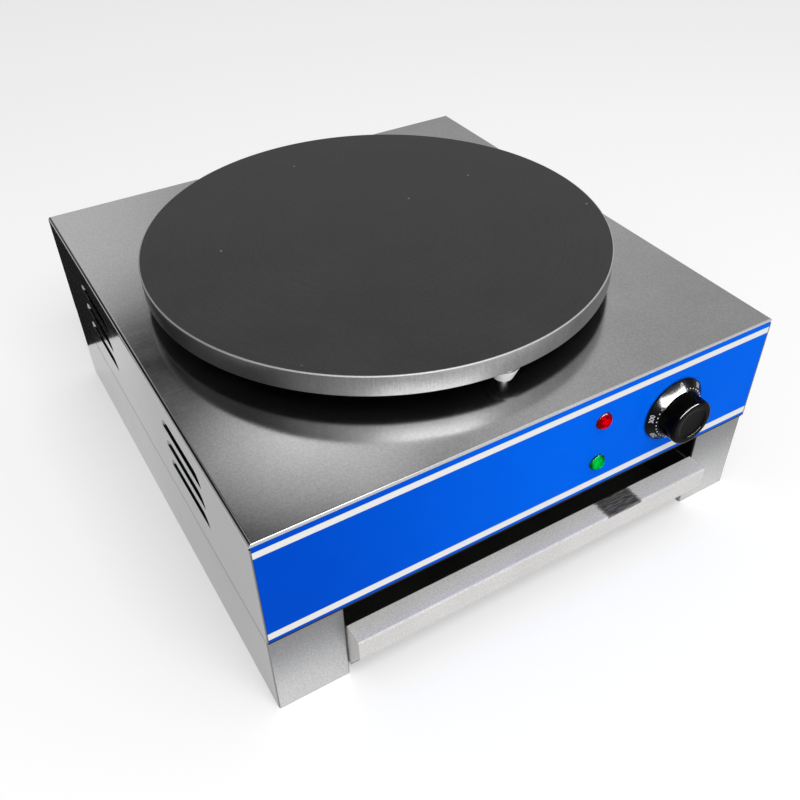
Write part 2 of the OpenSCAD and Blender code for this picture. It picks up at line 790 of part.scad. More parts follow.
// A quarter of a bent sheet in plan, around the origin, in the -X -Y quadrant.
module bend_quarter(r, t) {
    intersection() {
        difference() {
            circle(r = r);
            circle(r = r - t);
        }
        translate([-r, -r]) square([r, r]);
    }
}

// One side of the base, drawn for the -X side with leg_w the leg's width.
module base_side(leg_w) {
    r = base_corner_r;
    y0 = leg_y;
    union() {
        linear_extrude(base_h) union() {
            translate([-half_w, y0 + r]) square([base_t, y_rear - y0 - 2 * r]);
            translate([-half_w + r, y0]) square([leg_w - 2 * r, base_t]);
            translate([-half_w + r, y0 + r]) bend_quarter(r, base_t);
            translate([-half_w + leg_w - r, y0 + r]) mirror([1, 0]) bend_quarter(r, base_t);
            translate([-half_w + leg_w - base_t, y0 + r]) square([base_t, leg_return - r]);
            translate([-half_w + r, y_rear - r]) mirror([0, 1]) bend_quarter(r, base_t);
            translate([-half_w + r, y_rear - base_t]) square([rear_corner_w - r, base_t]);
        }
        slab(-half_w + base_t / 2, -half_w + base_flange, y0 + r, y_rear - r, 0, base_t);
        slab(-half_w + base_t / 2, -half_w + base_flange, y0 + r, y_rear - r,
             base_h - base_t, base_h);
        slab(-half_w + base_t / 2, -half_w + leg_w - base_t / 2, y0 + base_t / 2,
             y0 + leg_return, 0, base_t);
    }
}

module base_screw_holes() {
    for (p = deck_screws_at) translate([p.x, p.y, base_h - base_t - eps])
        cylinder(d = deck_screw_d, h = base_t + 2 * eps);
}

module left_base() {
    color("#c3c5c7") difference() {
        base_side(leg_w_left);
        base_screw_holes();
        rivet_holes();
    }
}

module right_base() {
    color("#c3c5c7") difference() {
        mirror([1, 0, 0]) base_side(leg_w_right);
        base_screw_holes();
        rivet_holes();
    }
}

// The sheet that closes the base at the rear, behind the corner faces.
base_rear_y1 = y_rear - base_t;
base_rear_y0 = base_rear_y1 - base_t;
module base_rear_panel() {
    x = half_w - base_flange - 1;
    color("#c3c5c7") slab(-x, x, base_rear_y0, base_rear_y1, 2, base_h);
}

// A tray rail: an upright lapped on the leg's return, and a ledge under the
// tray. side is -1 for the left rail and 1 for the right one.
rail_z1 = tray_wall_z;
module tray_rail(side) {
    edge = side < 0 ? slot_x0 - base_t : slot_x1 + base_t;
    y0 = leg_y + base_t + 0.5;
    y1 = base_rear_y0;
    lo = side < 0 ? edge - base_t : edge;
    ledge_lo = side < 0 ? edge - base_t : edge - rail_ledge;
    ledge_hi = side < 0 ? edge + rail_ledge : edge + base_t;
    difference() {
        union() {
            slab(lo, lo + base_t, y0, y1, ledge_z - base_t, rail_z1);
            slab(ledge_lo, ledge_hi, leg_y + leg_return + 0.5, y1, ledge_z - base_t, ledge_z);
        }
        rivet_holes();
    }
}

module left_tray_rail() { color("#a9adb1") tray_rail(-1); }

module right_tray_rail() { color("#a9adb1") tray_rail(1); }

// Rivets that join each rail to its leg's return.
rivet_d = 4;
rivet_y = leg_y + leg_return - 6;
rivet_zs = [tray_floor_z + 12, tray_floor_z + 34];
module rivet_holes() {
    for (x = [slot_x0 - base_t, slot_x1 + base_t]) for (z = rivet_zs)
        translate([x - 3 * base_t, rivet_y, z]) rotate([0, 90, 0])
            cylinder(d = rivet_d, h = 6 * base_t);
}

module rail_rivets() {
    head_t = 0.5;
    color("#a9adb1") for (side = [-1, 1]) for (z = rivet_zs) {
        x0 = side < 0 ? slot_x0 - 2 * base_t : slot_x1;
        translate([x0, rivet_y, z]) rotate([0, 90, 0])
            cylinder(d = rivet_d - 2 * thread_fit, h = 2 * base_t);
        translate([side < 0 ? x0 : x0 + 2 * base_t, rivet_y, z])
            rotate([0, side * 90, 0]) cylinder(d = 2 * rivet_d, h = head_t + 0.4);
        translate([side < 0 ? x0 + 2 * base_t : x0, rivet_y, z])
            rotate([0, -side * 90, 0]) cylinder(d = 1.6 * rivet_d, h = head_t);
    }
}

// ---------------------------------------------------------------- crumb tray

// Cross-section of the tray's front: the wall, the lip that reaches forward,
// the apron and its hem, with rounded bends. x runs backwards, y upwards.
module tray_front_section() {
    r = tray_bend;
    t = tray_t;
    front = tray_front - tray_y0;
    foot = tray_lip_z - tray_apron;
    union() {
        translate([0, tray_floor_z]) square([t, tray_lip_z - tray_floor_z]);
        translate([front + r, tray_lip_z - t]) square([-front - r + t, t]);
        translate([front + r, tray_lip_z - r]) mirror([0, 1]) bend_quarter(r, t);
        translate([front, foot + r]) square([t, tray_apron - 2 * r]);
        translate([front + r, foot + r]) bend_quarter(r, t);
        translate([front + r, foot]) square([tray_hem - r, t]);
    }
}

module crumb_tray() {
    color("#c9cbcd") union() {
        translate([tray_x0, tray_y0, 0]) rotate([90, 0, 90])
            linear_extrude(tray_x1 - tray_x0) tray_front_section();
        slab(tray_x0, tray_x1, tray_y0, tray_y1, tray_floor_z, tray_floor_z + tray_t);
        slab(tray_x0, tray_x0 + tray_t, tray_y0, tray_y1, tray_floor_z, tray_wall_z);
        slab(tray_x1 - tray_t, tray_x1, tray_y0, tray_y1, tray_floor_z, tray_wall_z);
        slab(tray_x0, tray_x1, tray_y1 - tray_t, tray_y1, tray_floor_z, tray_wall_z);
    }
}

// ---------------------------------------------------------------- thermostat

// The case behind the panel, its neck through the panel and four tabs.
tab_len = 8;
tab_pitch = 14;
stat_tabs = [for (sx = [-1, 1]) for (sz = [-1, 1])
    [knob_x + sx * tab_pitch / 2, knob_z + sz * tab_pitch / 2]];
module thermostat_body() {
    color("#3a3a3c") difference() {
        union() {
            slab(knob_x - stat_w / 2, knob_x + stat_w / 2, panel_y1, panel_y1 + stat_d,
                 knob_z - stat_w / 2, knob_z + stat_w / 2);
            translate([knob_x, y_front - 0.3, knob_z]) rotate([-90, 0, 0])
                cylinder(d = stat_neck_d, h = film_t + sheet_t + 0.3 + eps);
            for (p = stat_tabs)
                slab(p.x - 3, p.x + 3, panel_y1 + stat_d - eps,
                     panel_y1 + stat_d + tab_len, p.y - 0.4, p.y + 0.4);
        }
        translate([knob_x, y_front - 1, knob_z]) rotate([-90, 0, 0])
            cylinder(d = spindle_d + 2 * spindle_fit, h = spindle_depth + 1.3);
        for (s = [-1, 1]) translate([knob_x + s * stat_screw_pitch / 2, panel_y1 - eps, knob_z])
            rotate([-90, 0, 0]) cylinder(d = stat_screw_d, h = 7);
    }
}

module thermostat_screws() {
    color("#a9adb1") for (s = [-1, 1])
        translate([knob_x + s * stat_screw_pitch / 2, y_front, knob_z])
            rotate([90, 0, 0]) pan_screw(stat_screw_d, 6, stat_head_h);
}

// The spindle reaches from inside the case to inside the cap's hub.
spindle_depth = 20;
spindle_tip = skirt_gap + skirt_h + cap_h - knob_wall - 1;
module thermostat_spindle() {
    color("#b5b8bb") translate([knob_x, y_front + spindle_depth, knob_z])
        rotate([90, 0, 0]) cylinder(d = spindle_d, h = spindle_depth + spindle_tip);
}

// The dial skirt: a shallow cone that carries the scale, hollow behind.
module dial_skirt() {
    r1 = skirt_d / 2;
    r2 = cap_d / 2 + 0.6;
    lip = 1;
    color("#1b1b1d") translate([knob_x, y_front - skirt_gap, knob_z]) rotate([90, 0, 0])
        rotate_extrude($fn = 96) polygon([
            [r1, 0], [r1, lip], [r2, skirt_h], [spindle_d / 2 + 0.1, skirt_h],
            [spindle_d / 2 + 0.1, skirt_h - knob_wall],
            [r2 - knob_wall, skirt_h - knob_wall], [r1 - knob_wall, 0]
        ]);
}

// The cap: a hollow cup with a rounded front edge and a hub on the spindle.
module knob() {
    r = cap_d / 2;
    c = cap_round;
    hub_r = spindle_d / 2 + 2.5;
    color("#121214") translate([knob_x, y_front - skirt_gap - skirt_h, knob_z])
        rotate([90, 0, 0]) rotate_extrude($fn = 96) polygon(concat(
            [[spindle_d / 2 + 0.1, 0], [hub_r, 0], [hub_r, cap_h - knob_wall],
             [r - knob_wall - 0.5, cap_h - knob_wall], [r - knob_wall, cap_h - knob_wall - 1.5],
             [r - knob_wall, 0], [r, 0]],
            [for (k = [0:arc_steps]) [r - c + c * cos(90 * k / arc_steps),
                                      cap_h - c + c * sin(90 * k / arc_steps)]],
            [[0, cap_h], [0, cap_h - knob_wall - 0.5],
             [spindle_d / 2 + 0.1, cap_h - knob_wall - 0.5]]));
}

// ---------------------------------------------------------------- lamps

// A lens: a low dome with a narrow rim, on a lamp at height z.
module lens(z) {
    r = lens_d / 2;
    rim = 1;
    translate([lamp_x, y_front, z]) rotate([90, 0, 0]) rotate_extrude(convexity = 4)
        polygon([[0, 0], [r, 0], [r, rim], [r - 0.8, rim + 0.6],
                 [r * 0.72, lens_h - 0.6], [r * 0.6, lens_h], [0, lens_h]]);
}

// A lamp's barrel behind the lens, with two tabs at its rear.
module lamp_barrel(z) {
    union() {
        translate([lamp_x, y_front, z]) rotate([-90, 0, 0]) cylinder(d = barrel_d, h = barrel_len);
        for (s = [-1, 1])
            slab(lamp_x + s * 2.5 - 1.2, lamp_x + s * 2.5 + 1.2, y_front + barrel_len - eps,
                 y_front + barrel_len + 6, z - 0.4, z + 0.4);
    }
}

lamp_z_red = lamp_mid_z + lamp_pitch / 2;
lamp_z_green = lamp_mid_z - lamp_pitch / 2;

module red_lamp_lens() { color("#c40d12") lens(lamp_z_red); }

module green_lamp_lens() { color("#0f9a4a") lens(lamp_z_green); }

module red_lamp_body() { color("#d8d8d4") lamp_barrel(lamp_z_red); }

module green_lamp_body() { color("#d8d8d4") lamp_barrel(lamp_z_green); }

module lamp_nuts() {
    color("#a9adb1") for (z = [lamp_z_red, lamp_z_green])
        translate([lamp_x, panel_y1, z]) rotate([-90, 0, 0]) difference() {
            cylinder(d = barrel_d * 1.6, h = 3, $fn = 6);
            translate([0, 0, -eps])
                cylinder(d = barrel_d + 2 * thread_fit, h = 3 + 2 * eps);
        }
}

// ---------------------------------------------------------------- mains side

function way_x(i) = block_x + (i - (block_ways - 1) / 2) * block_way_pitch;
module terminal_block() {
    color("#efe9dc") difference() {
        slab(block_x - block_w / 2, block_x + block_w / 2, block_y - block_d / 2,
             block_y + block_d / 2, deck_top, deck_top + block_h);
        for (i = [0:block_ways - 1]) {
            translate([way_x(i), block_y, deck_top + block_h - 8])
                cylinder(d = 6.5, h = 8 + eps);
            translate([way_x(i), block_y - block_d / 2 - eps, deck_top + block_h / 2])
                rotate([-90, 0, 0]) cylinder(d = 6, h = block_d + 2 * eps);
        }
    }
}

module terminal_screws() {
    color("#c9b27a") for (i = [0:block_ways - 1])
        translate([way_x(i), block_y, deck_top + block_h - 8])
            difference() {
                cylinder(d = 6.5 - 2 * thread_fit, h = 4);
                translate([-4, -0.5, 3]) cube([8, 1, 2]);
            }
}

// The gland: a hexagon body and a domed nut outside, a threaded barrel inside.
gland_inner = 16;
module cable_gland() {
    hex_t = 5;
    color("#26272a") translate([-gland_x, y_rear, gland_z]) rotate([-90, 0, 0])
        difference() {
            union() {
                translate([0, 0, -gland_inner]) cylinder(d = gland_thread_d, h = gland_inner + eps);
                cylinder(d = gland_wall_d, h = hex_t, $fn = 6);
                translate([0, 0, hex_t - eps])
                    cylinder(d1 = gland_wall_d - 3, d2 = gland_bore + 6,
                             h = gland_reach - hex_t + eps);
            }
            translate([0, 0, -gland_inner - eps])
                cylinder(d = gland_bore, h = gland_inner + gland_reach + 2 * eps);
        }
}

module gland_locknut() {
    color("#26272a") translate([-gland_x, y_rear - sheet_t, gland_z]) rotate([90, 0, 0])
        difference() {
            cylinder(d = gland_wall_d + 2, h = 5, $fn = 6);
            translate([0, 0, -eps])
                cylinder(d = gland_thread_d + 2 * thread_fit, h = 5 + 2 * eps);
        }
}

// The equipotential stud on the rear panel.
earth_out = 13;
earth_in = 14;
module earth_stud() {
    color("#c9b27a") translate([earth_x, y_rear + earth_out, earth_z]) rotate([90, 0, 0])
        cylinder(d = earth_d - 2 * thread_fit, h = earth_out + sheet_t + earth_in);
}

module earth_nuts() {
    color("#c9b27a") {
        translate([earth_x, y_rear + nut_h(earth_d) + washer_t, earth_z])
            rotate([90, 0, 0]) nut_and_washer(earth_d);
        translate([earth_x, y_rear - sheet_t - nut_h(earth_d) - washer_t, earth_z])
            rotate([-90, 0, 0]) nut_and_washer(earth_d);
    }
}

// ---------------------------------------------------------------- leads

lead_start_z = cold_leg_bottom - terminal_h;
way_z = deck_top + block_h / 2;
block_front = block_y - block_d / 2;
tab_y = panel_y1 + stat_d + tab_len;

// From the four cold legs: two leads to the terminal block, two to the
// thermostat.
module element_leads() {
    a = cold_legs[0];
    b = cold_legs[1];
    c = cold_legs[2];
    d = cold_legs[3];
    color("#d9d4c8") {
        wire([[a.x, a.y, lead_start_z], [a.x, a.y, lead_start_z - 3],
              [a.x - 4, a.y, lead_start_z - 12],
              [-50, a.y - 20, 130], [way_x(1), block_front - 26, way_z + 10],
              [way_x(1), block_front - 14, way_z], [way_x(1), block_front + 6, way_z]], lead_d);
        wire([[c.x, c.y, lead_start_z], [c.x, c.y, lead_start_z - 3],
              [c.x - 3, c.y, lead_start_z - 12],
              [-60, c.y - 14, 132], [way_x(0) + 6, block_front - 44, way_z + 14],
              [way_x(0), block_front - 18, way_z], [way_x(0), block_front + 6, way_z]], lead_d);
        wire([[b.x, b.y, lead_start_z], [b.x, b.y, lead_start_z - 3],
              [b.x + 4, b.y, lead_start_z - 12],
              [70, b.y - 30, 140], [110, plate_y, 128], [stat_tabs[2].x, tab_y + 60, 122],
              [stat_tabs[2].x, tab_y + 14, stat_tabs[2].y],
              [stat_tabs[2].x, tab_y, stat_tabs[2].y]], lead_d);
        wire([[d.x, d.y, lead_start_z], [d.x, d.y, lead_start_z - 3],
              [d.x + 3, d.y, lead_start_z - 12],
              [50, d.y - 40, 146], [86, plate_y - 20, 132], [stat_tabs[0].x, tab_y + 60, 124],
              [stat_tabs[0].x, tab_y + 14, stat_tabs[0].y],
              [stat_tabs[0].x, tab_y, stat_tabs[0].y]], lead_d);
    }
}

// From the terminal block to the thermostat, and between the thermostat and
// the two lamps.
module control_leads() {
    lamp_y = y_front + barrel_len + 6;
    color("#7a2f26") {
        wire([[way_x(2), block_front + 6, way_z], [way_x(2), block_front - 14, way_z],
              [way_x(2) + 6, block_front - 60, 100], [20, plate_y, 98],
              [stat_tabs[1].x - 10, tab_y + 70, 136],
              [stat_tabs[1].x, tab_y + 16, stat_tabs[1].y],
              [stat_tabs[1].x, tab_y, stat_tabs[1].y]], lead_d);
        wire([[lamp_x + 2.5, lamp_y, lamp_z_red], [lamp_x + 5, lamp_y + 14, lamp_z_red],
              [lamp_x + 40, tab_y + 26, lamp_z_red + 4],
              [stat_tabs[3].x, tab_y + 18, stat_tabs[3].y + 4],
              [stat_tabs[3].x, tab_y, stat_tabs[3].y]], 2);
        wire([[lamp_x - 2.5, lamp_y, lamp_z_red],
              [lamp_x - 6, lamp_y + 12, lamp_z_red - 2],
              [lamp_x - 12, lamp_y + 20, lamp_mid_z],
              [lamp_x - 6, lamp_y + 12, lamp_z_green + 2],
              [lamp_x - 2.5, lamp_y, lamp_z_green]], 2);
    }
}

// From the earth stud to the terminal block's last way.
module earth_lead() {
    stud_end = y_rear - sheet_t - earth_in;
    block_rear = block_y + block_d / 2;
    color("#7fae2c") wire([
        [earth_x, stud_end, earth_z], [earth_x, stud_end - 12, earth_z],
        [(earth_x + way_x(3)) / 2, (stud_end + block_rear) / 2, (earth_z + way_z) / 2],
        [way_x(3), block_rear + 12, way_z], [way_x(3), block_rear - 6, way_z]
    ], lead_d);
}

// ---------------------------------------------------------------- assembly

griddle_plate();
plate_spacers();
plate_studs();
plate_nuts();
support_posts();
outer_element();
inner_element();
element_clamp();
insulation_disc();
heat_shield();
clamp_stud();
clamp_nut();
element_bushes();
element_terminals();
thermostat_bulb();
bulb_clips();
capillary_tube();
top_cover();
left_side_panel();
right_side_panel();
front_panel();
front_film();
rear_panel();
deck_plate();
left_base();
right_base();
base_rear_panel();
left_tray_rail();
right_tray_rail();
crumb_tray();
thermostat_body();
thermostat_screws();
thermostat_spindle();
dial_skirt();
knob();
red_lamp_lens();
green_lamp_lens();
red_lamp_body();
green_lamp_body();
lamp_nuts();
terminal_block();
terminal_screws();
cable_gland();
gland_locknut();
earth_stud();
earth_nuts();
element_leads();
control_leads();
earth_lead();
deck_screws();
rear_panel_screws();
rail_rivets();
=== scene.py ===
# %% [markdown]
# # An electric crepe maker, dressed piece by piece
# The machine is already built as solids: a cast plate on a sheet-steel housing, with a knob, two
# pilot lamps and a crumb tray. This lesson gives each piece the finish and the small forms that a
# solid leaves out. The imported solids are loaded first, and everything stays in their frame, in
# metres, with +Z up and the front facing -Y.

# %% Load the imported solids
import bmesh
import bpy
import json
import math
from mathutils import Matrix, Vector


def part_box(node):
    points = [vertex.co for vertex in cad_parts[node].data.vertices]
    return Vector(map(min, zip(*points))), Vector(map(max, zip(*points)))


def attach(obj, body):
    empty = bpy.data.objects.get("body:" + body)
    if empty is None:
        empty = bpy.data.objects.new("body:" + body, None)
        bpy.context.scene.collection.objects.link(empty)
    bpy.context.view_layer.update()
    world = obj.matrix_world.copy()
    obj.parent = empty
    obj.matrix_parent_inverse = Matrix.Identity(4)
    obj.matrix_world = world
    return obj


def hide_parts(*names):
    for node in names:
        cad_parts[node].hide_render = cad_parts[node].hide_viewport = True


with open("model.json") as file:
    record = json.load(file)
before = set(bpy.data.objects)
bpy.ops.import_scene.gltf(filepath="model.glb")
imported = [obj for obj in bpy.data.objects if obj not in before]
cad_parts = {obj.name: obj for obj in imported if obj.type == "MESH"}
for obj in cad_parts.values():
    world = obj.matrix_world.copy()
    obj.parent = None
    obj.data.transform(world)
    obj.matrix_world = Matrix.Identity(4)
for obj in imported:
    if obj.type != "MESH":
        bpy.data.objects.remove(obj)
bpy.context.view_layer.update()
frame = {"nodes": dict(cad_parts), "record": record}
NODES = frame["nodes"]
RECORD = frame["record"]

# %% [markdown]
# ## Sizes read from the solids
# A piece that is placed by hand goes wrong as soon as the solid changes. So the places needed
# here, such as the plate's rim or the knob's axis, are read from the solids' boxes.

# %% Places on the machine
MM = 0.001
JOINT_GAP = 0.2 * MM


def low(node):
    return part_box(node)[0]


def high(node):
    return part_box(node)[1]


def middle(node):
    return (low(node) + high(node)) / 2


def half_width(node):
    return (high(node).x - low(node).x) / 2


PLATE_MID = middle("griddle_plate")
PLATE_R = half_width("griddle_plate")
PLATE_TOP = high("griddle_plate").z
HALF_W = high("top_cover").x
FRONT_Y = low("front_film").y
FILM_BOTTOM = low("front_film").z
SEAM_Z = high("left_base").z + JOINT_GAP
LIP_TOP = high("crumb_tray").z
KNOB_MID = middle("knob")
KNOB_R = half_width("knob")
print("plate radius", round(PLATE_R, 4), "knob axis", [round(v, 4) for v in KNOB_MID])

# %% [markdown]
# ## The camera
# The camera stands above the front left corner with a medium lens, so that the front edge and the
# left edge run away from it. Its place is fitted to the corners of the housing. The small shift
# keeps the machine where it stands in the frame without tipping the camera.

# %% Camera
CAMERA_AT = (-0.3215, -0.59437, 0.59661)
CAMERA_TURN = (48.924, 0.506, -31.252)
CAMERA_LENS = 39.876
CAMERA_SHIFT = (-0.01716, 0.02055)
CAMERA_SENSOR = 36
CAMERA_NEAR = 0.01

camera_data = bpy.data.cameras.new("camera")
camera_data.lens = CAMERA_LENS
camera_data.sensor_width = CAMERA_SENSOR
camera_data.shift_x, camera_data.shift_y = CAMERA_SHIFT
camera_data.clip_start = CAMERA_NEAR
camera = bpy.data.objects.new("camera", camera_data)
camera.location = CAMERA_AT
camera.rotation_euler = [math.radians(a) for a in CAMERA_TURN]
bpy.context.scene.collection.objects.link(camera)
bpy.context.scene.camera = camera
bpy.context.scene.view_settings.view_transform = "Standard"
print("camera height", CAMERA_AT[2], "lens", CAMERA_LENS)

# %% [markdown]
# ## Shader sums written as Python
# A procedural finish is mostly arithmetic: a mask is a comparison, wear is a product of noises.
# Wiring each Math node by hand hides that. The class below wraps one output socket, and Python's
# own operators add the Math nodes. Colours never go through Math, which would turn them grey,
# but through a Mix node.

# %% A wire that does arithmetic
class Wire:
    """One output socket. Sums and products of wires add Math nodes to its tree."""

    def __init__(self, tree, socket=None):
        self.tree = tree
        self.socket = socket

    def node(self, kind, settings=None, inputs=None, out=0):
        """Adds a node: its settings first, then the values or wires of its sockets."""
        made = self.tree.nodes.new(kind)
        for name, value in (settings or {}).items():
            setattr(made, name, value)
        for name, value in (inputs or {}).items():
            self.feed(made.inputs[name], value)
        return Wire(self.tree, made.outputs[out] if len(made.outputs) else None)

    def feed(self, socket, value):
        """Links a wire to a socket, or sets a plain value on it."""
        if isinstance(value, Wire):
            self.tree.links.new(value.socket, socket)
        else:
            socket.default_value = value

    def twin(self, out):
        """Another output of the node that this wire comes from."""
        return Wire(self.tree, self.socket.node.outputs[out])

    def math(self, operation, *others):
        values = dict(enumerate((self,) + others))
        return self.node("ShaderNodeMath", {"operation": operation}, values)

    def _flipped(self, operation, other):
        return self.node("ShaderNodeMath", {"operation": operation}, {0: other, 1: self})

    def __add__(self, other):
        return self.math("ADD", other)

    def __radd__(self, other):
        return self._flipped("ADD", other)

    def __sub__(self, other):
        return self.math("SUBTRACT", other)

    def __rsub__(self, other):
        return self._flipped("SUBTRACT", other)

    def __mul__(self, other):
        return self.math("MULTIPLY", other)

    def __rmul__(self, other):
        return self._flipped("MULTIPLY", other)

    def __truediv__(self, other):
        return self.math("DIVIDE", other)

    def __pow__(self, other):
        return self.math("POWER", other)

    def ramp(self, start, end):
        """0 below start, 1 above end, and a smooth slope between: an edge without steps."""
        settings = {"interpolation_type": "SMOOTHSTEP", "clamp": True}
        return self.node("ShaderNodeMapRange", settings,
                         {"Value": self, "From Min": start, "From Max": end})

    def blend(self, first, second):
        """The colour first where this wire is 0 and second where it is 1."""
        settings = {"data_type": "RGBA", "clamp_factor": True}
        return self.node("ShaderNodeMix", settings, {0: self, 6: first, 7: second}, out=2)


print("operators of a wire: + - * / **")

# %% [markdown]
# ## How every material starts and ends
# A pattern painted on a flat picture needs seams. These are worked out from where a point lies
# on its piece, so they have no seams and travel with it. Every material starts from that place
# and ends in one Principled shader. Noise gives what is irregular, and a Bump node fine relief.

# %% Start and close a material
def start(name):
    """A new material, with a wire that reads where a point lies in the machine's frame."""
    material = bpy.data.materials.new(name)
    material.use_nodes = True
    material.node_tree.nodes.clear()
    place = Wire(material.node_tree).node("ShaderNodeTexCoord", out="Object")
    return material, place


def close(material, wire, **sockets):
    """Ends the tree in a Principled shader. A socket's name is written with underscores."""
    named = {key.replace("_", " "): value for key, value in sockets.items()}
    shader = wire.node("ShaderNodeBsdfPrincipled", inputs=named, out="BSDF")
    wire.node("ShaderNodeOutputMaterial", inputs={"Surface": shader})
    return material


def axes(at):
    """The three coordinates of a place, as wires."""
    x = at.node("ShaderNodeSeparateXYZ", inputs={0: at}, out="X")
    return x, x.twin("Y"), x.twin("Z")


def noise(wire, scale, detail=2.0, stretch=(1, 1, 1), rough=0.5, shift=(0, 0, 0)):
    """Noise whose scale counts features per metre; stretch squeezes it along each axis."""
    placed = wire.node("ShaderNodeMapping", inputs={
        "Vector": wire, "Location": shift, "Scale": [scale * s for s in stretch]})
    return wire.node("ShaderNodeTexNoise", {"normalize": True}, {
        "Vector": placed, "Scale": 1.0, "Detail": detail, "Roughness": rough})


def bump(wire, height, depth, strength):
    return wire.node("ShaderNodeBump", inputs={
        "Height": height, "Distance": depth, "Strength": strength}, out="Normal")


def rgb(red, green, blue):
    return (red, green, blue, 1.0)


def grey(value):
    return rgb(value, value, value)


def darker(colour, share):
    """A colour with only a share of its brightness left."""
    return rgb(*(share * part for part in colour[:3]))


BLACK = grey(0.0)
print("half of white:", darker(grey(1.0), 0.5))

# %% [markdown]
# ## Sheet steel
# The housing is polished stainless sheet. Rolling leaves a grain that runs one way, handling
# leaves soft smudges, and the two show as changes of roughness more than of colour. One
# function makes every steel finish, because they differ only in tone, roughness, strength and
# way of the grain, and marks.

# %% Steel maker
GRAIN = {"x": (0.02, 1, 1), "y": (1, 0.02, 1), "z": (1, 1, 0.02)}
GRAIN_DEPTH = 0.01 * MM
# grain lines, smudges, broad patches and specks per metre
LINES, CLOUDS, PATCHES, SPECKS = 1400, 22, 7, 620


def steel(name, tone, rough, along="x", smudge=0.06, mottle=0.10, metal=1.0, marks=None):
    """Sheet steel. marks gives, from a place, how much of the tone is left there."""
    material, at = start(name)
    lines = noise(at, LINES, 3, GRAIN[along], 0.6)
    cloud = noise(at, CLOUDS, 4, rough=0.55)
    patch = noise(at, PATCHES, shift=(3, 1, 2))
    speck = noise(at, SPECKS, 1).ramp(0.30, 0.70)
    level = (1 - mottle) + mottle * (0.30 * lines + 0.42 * cloud + 0.28 * speck)
    if marks:
        level = level * marks(at)
    roughness = rough + smudge * (cloud - 0.5) + smudge * 0.8 * (patch - 0.5) \
        + 0.05 * (lines - 0.5)
    return close(material, at, Base_Color=level.blend(BLACK, tone), Metallic=metal,
                 Roughness=roughness, Normal=bump(at, lines, GRAIN_DEPTH, 0.35))


print("grain lines per metre:", LINES)

# %% [markdown]
# ## Marks and painted shade that lie in one place
# Some pieces aren't the same all over: the joint between panel and base is dark, a leg is painted
# darker towards it as shade, the slot's sides are painted almost black as shade, and the tray's
# lip is worn where it is pulled. Each mark is a function of place that gives the share of the
# tone left there.

# %% Marks and painted shade
SEAM_HALF = 1.7 * MM
SIDE_TURN = 60 * MM
SIDE_LOSS = 0.30
LEG_SHADE_LOSS = 0.54
SLOT_SHADE_TONE = 0.05
SCUFF_X = 83 * MM
SCUFF_HALF = 20 * MM


def seam_left(z):
    """The dark joint between panel and base: 0.1 on the line and 1 off it."""
    off = (z - SEAM_Z).math("ABSOLUTE")
    return 1 - 0.9 * (1 - off.ramp(SEAM_HALF * 0.7, SEAM_HALF * 1.3))


def side_marks(at):
    """The front half of a side is darker than its rear half."""
    _, y, z = axes(at)
    return seam_left(z) * (1 - SIDE_LOSS * (1 - y.ramp(-SIDE_TURN, SIDE_TURN)))


def leg_joint_and_painted_shade(at):
    """A leg is painted darker from its foot up to the joint: painted shade under the housing."""
    z = axes(at)[2]
    return seam_left(z) * (1 - LEG_SHADE_LOSS * z.ramp(0.15 * SEAM_Z, 0.97 * SEAM_Z))


def slot_painted_shade(at):
    """A leg's side in the slot is painted almost black as shade, and lighter below the tray's
    lip.
    """
    z = axes(at)[2]
    return SLOT_SHADE_TONE + 0.45 * (1 - z.ramp(LIP_TOP - 12 * MM, LIP_TOP - 2 * MM))


def front_marks(at):
    """The bare edge of the front panel under the film lies in a dark joint."""
    z = axes(at)[2]
    return 0.04 + 0.96 * z.ramp(FILM_BOTTOM - 0.1 * MM, FILM_BOTTOM + 0.4 * MM)


def lip_marks(at):
    """A worn patch on the tray's lip, where it is gripped, with streaks along the lip."""
    x, _, z = axes(at)
    streaks = noise(at, 1, 3, (90, 900, 1), 0.7)
    off = (x - SCUFF_X).math("ABSOLUTE") + 12 * MM * (streaks - 0.5)
    on_top = z.ramp(LIP_TOP - 2.4 * MM, LIP_TOP - 0.4 * MM)
    patch = (1 - off.ramp(SCUFF_HALF * 0.8, SCUFF_HALF)) * on_top
    return 1 - patch * (0.88 + 0.8 * (streaks - 0.5))


print("worn patch at x", SCUFF_X, "joint at z", round(SEAM_Z, 4))

# %% [markdown]
# ## The steels and other metals
# The top and sides are polished, the legs are satin and the tray is galvanised. The sides are the
# top's steel with a darker tone, which is painted shade. The parts inside are zinc plated, burnt,
# or of brass and copper. Each line gives the tone, the roughness, the way the grain runs, and how
# strong smudges and mottle are.

# %% Metal finishes
POLISHED_X = steel("stainless_top", grey(0.63), 0.15, "x", 0.10, 0.36)
# The sides are the top's steel with a darker tone: painted shade.
POLISHED_Y_SHADED = steel("stainless_side_shaded", grey(0.365), 0.15, "y", 0.08, 0.30, marks=side_marks)
SATIN_X = steel("satin_across", grey(0.66), 0.46, "x", 0.10, 0.30)
SATIN_Z = steel("satin_upright", grey(0.76), 0.42, "z", 0.10, 0.50, marks=leg_joint_and_painted_shade)
FRONT_STEEL = steel("satin_front", grey(0.66), 0.46, "x", 0.10, 0.30, marks=front_marks)
# The slot's sides are painted almost black: painted shade in the slot.
SLOT_SIDE_SHADED = steel("slot_side_painted_shade", grey(0.66), 0.46, "z", 0.10, 0.30, marks=slot_painted_shade)
GALVANISED = steel("galvanised_tray", rgb(0.95, 0.93, 0.90), 0.50, "x", 0.10, 0.46,
                   metal=0.1, marks=lip_marks)
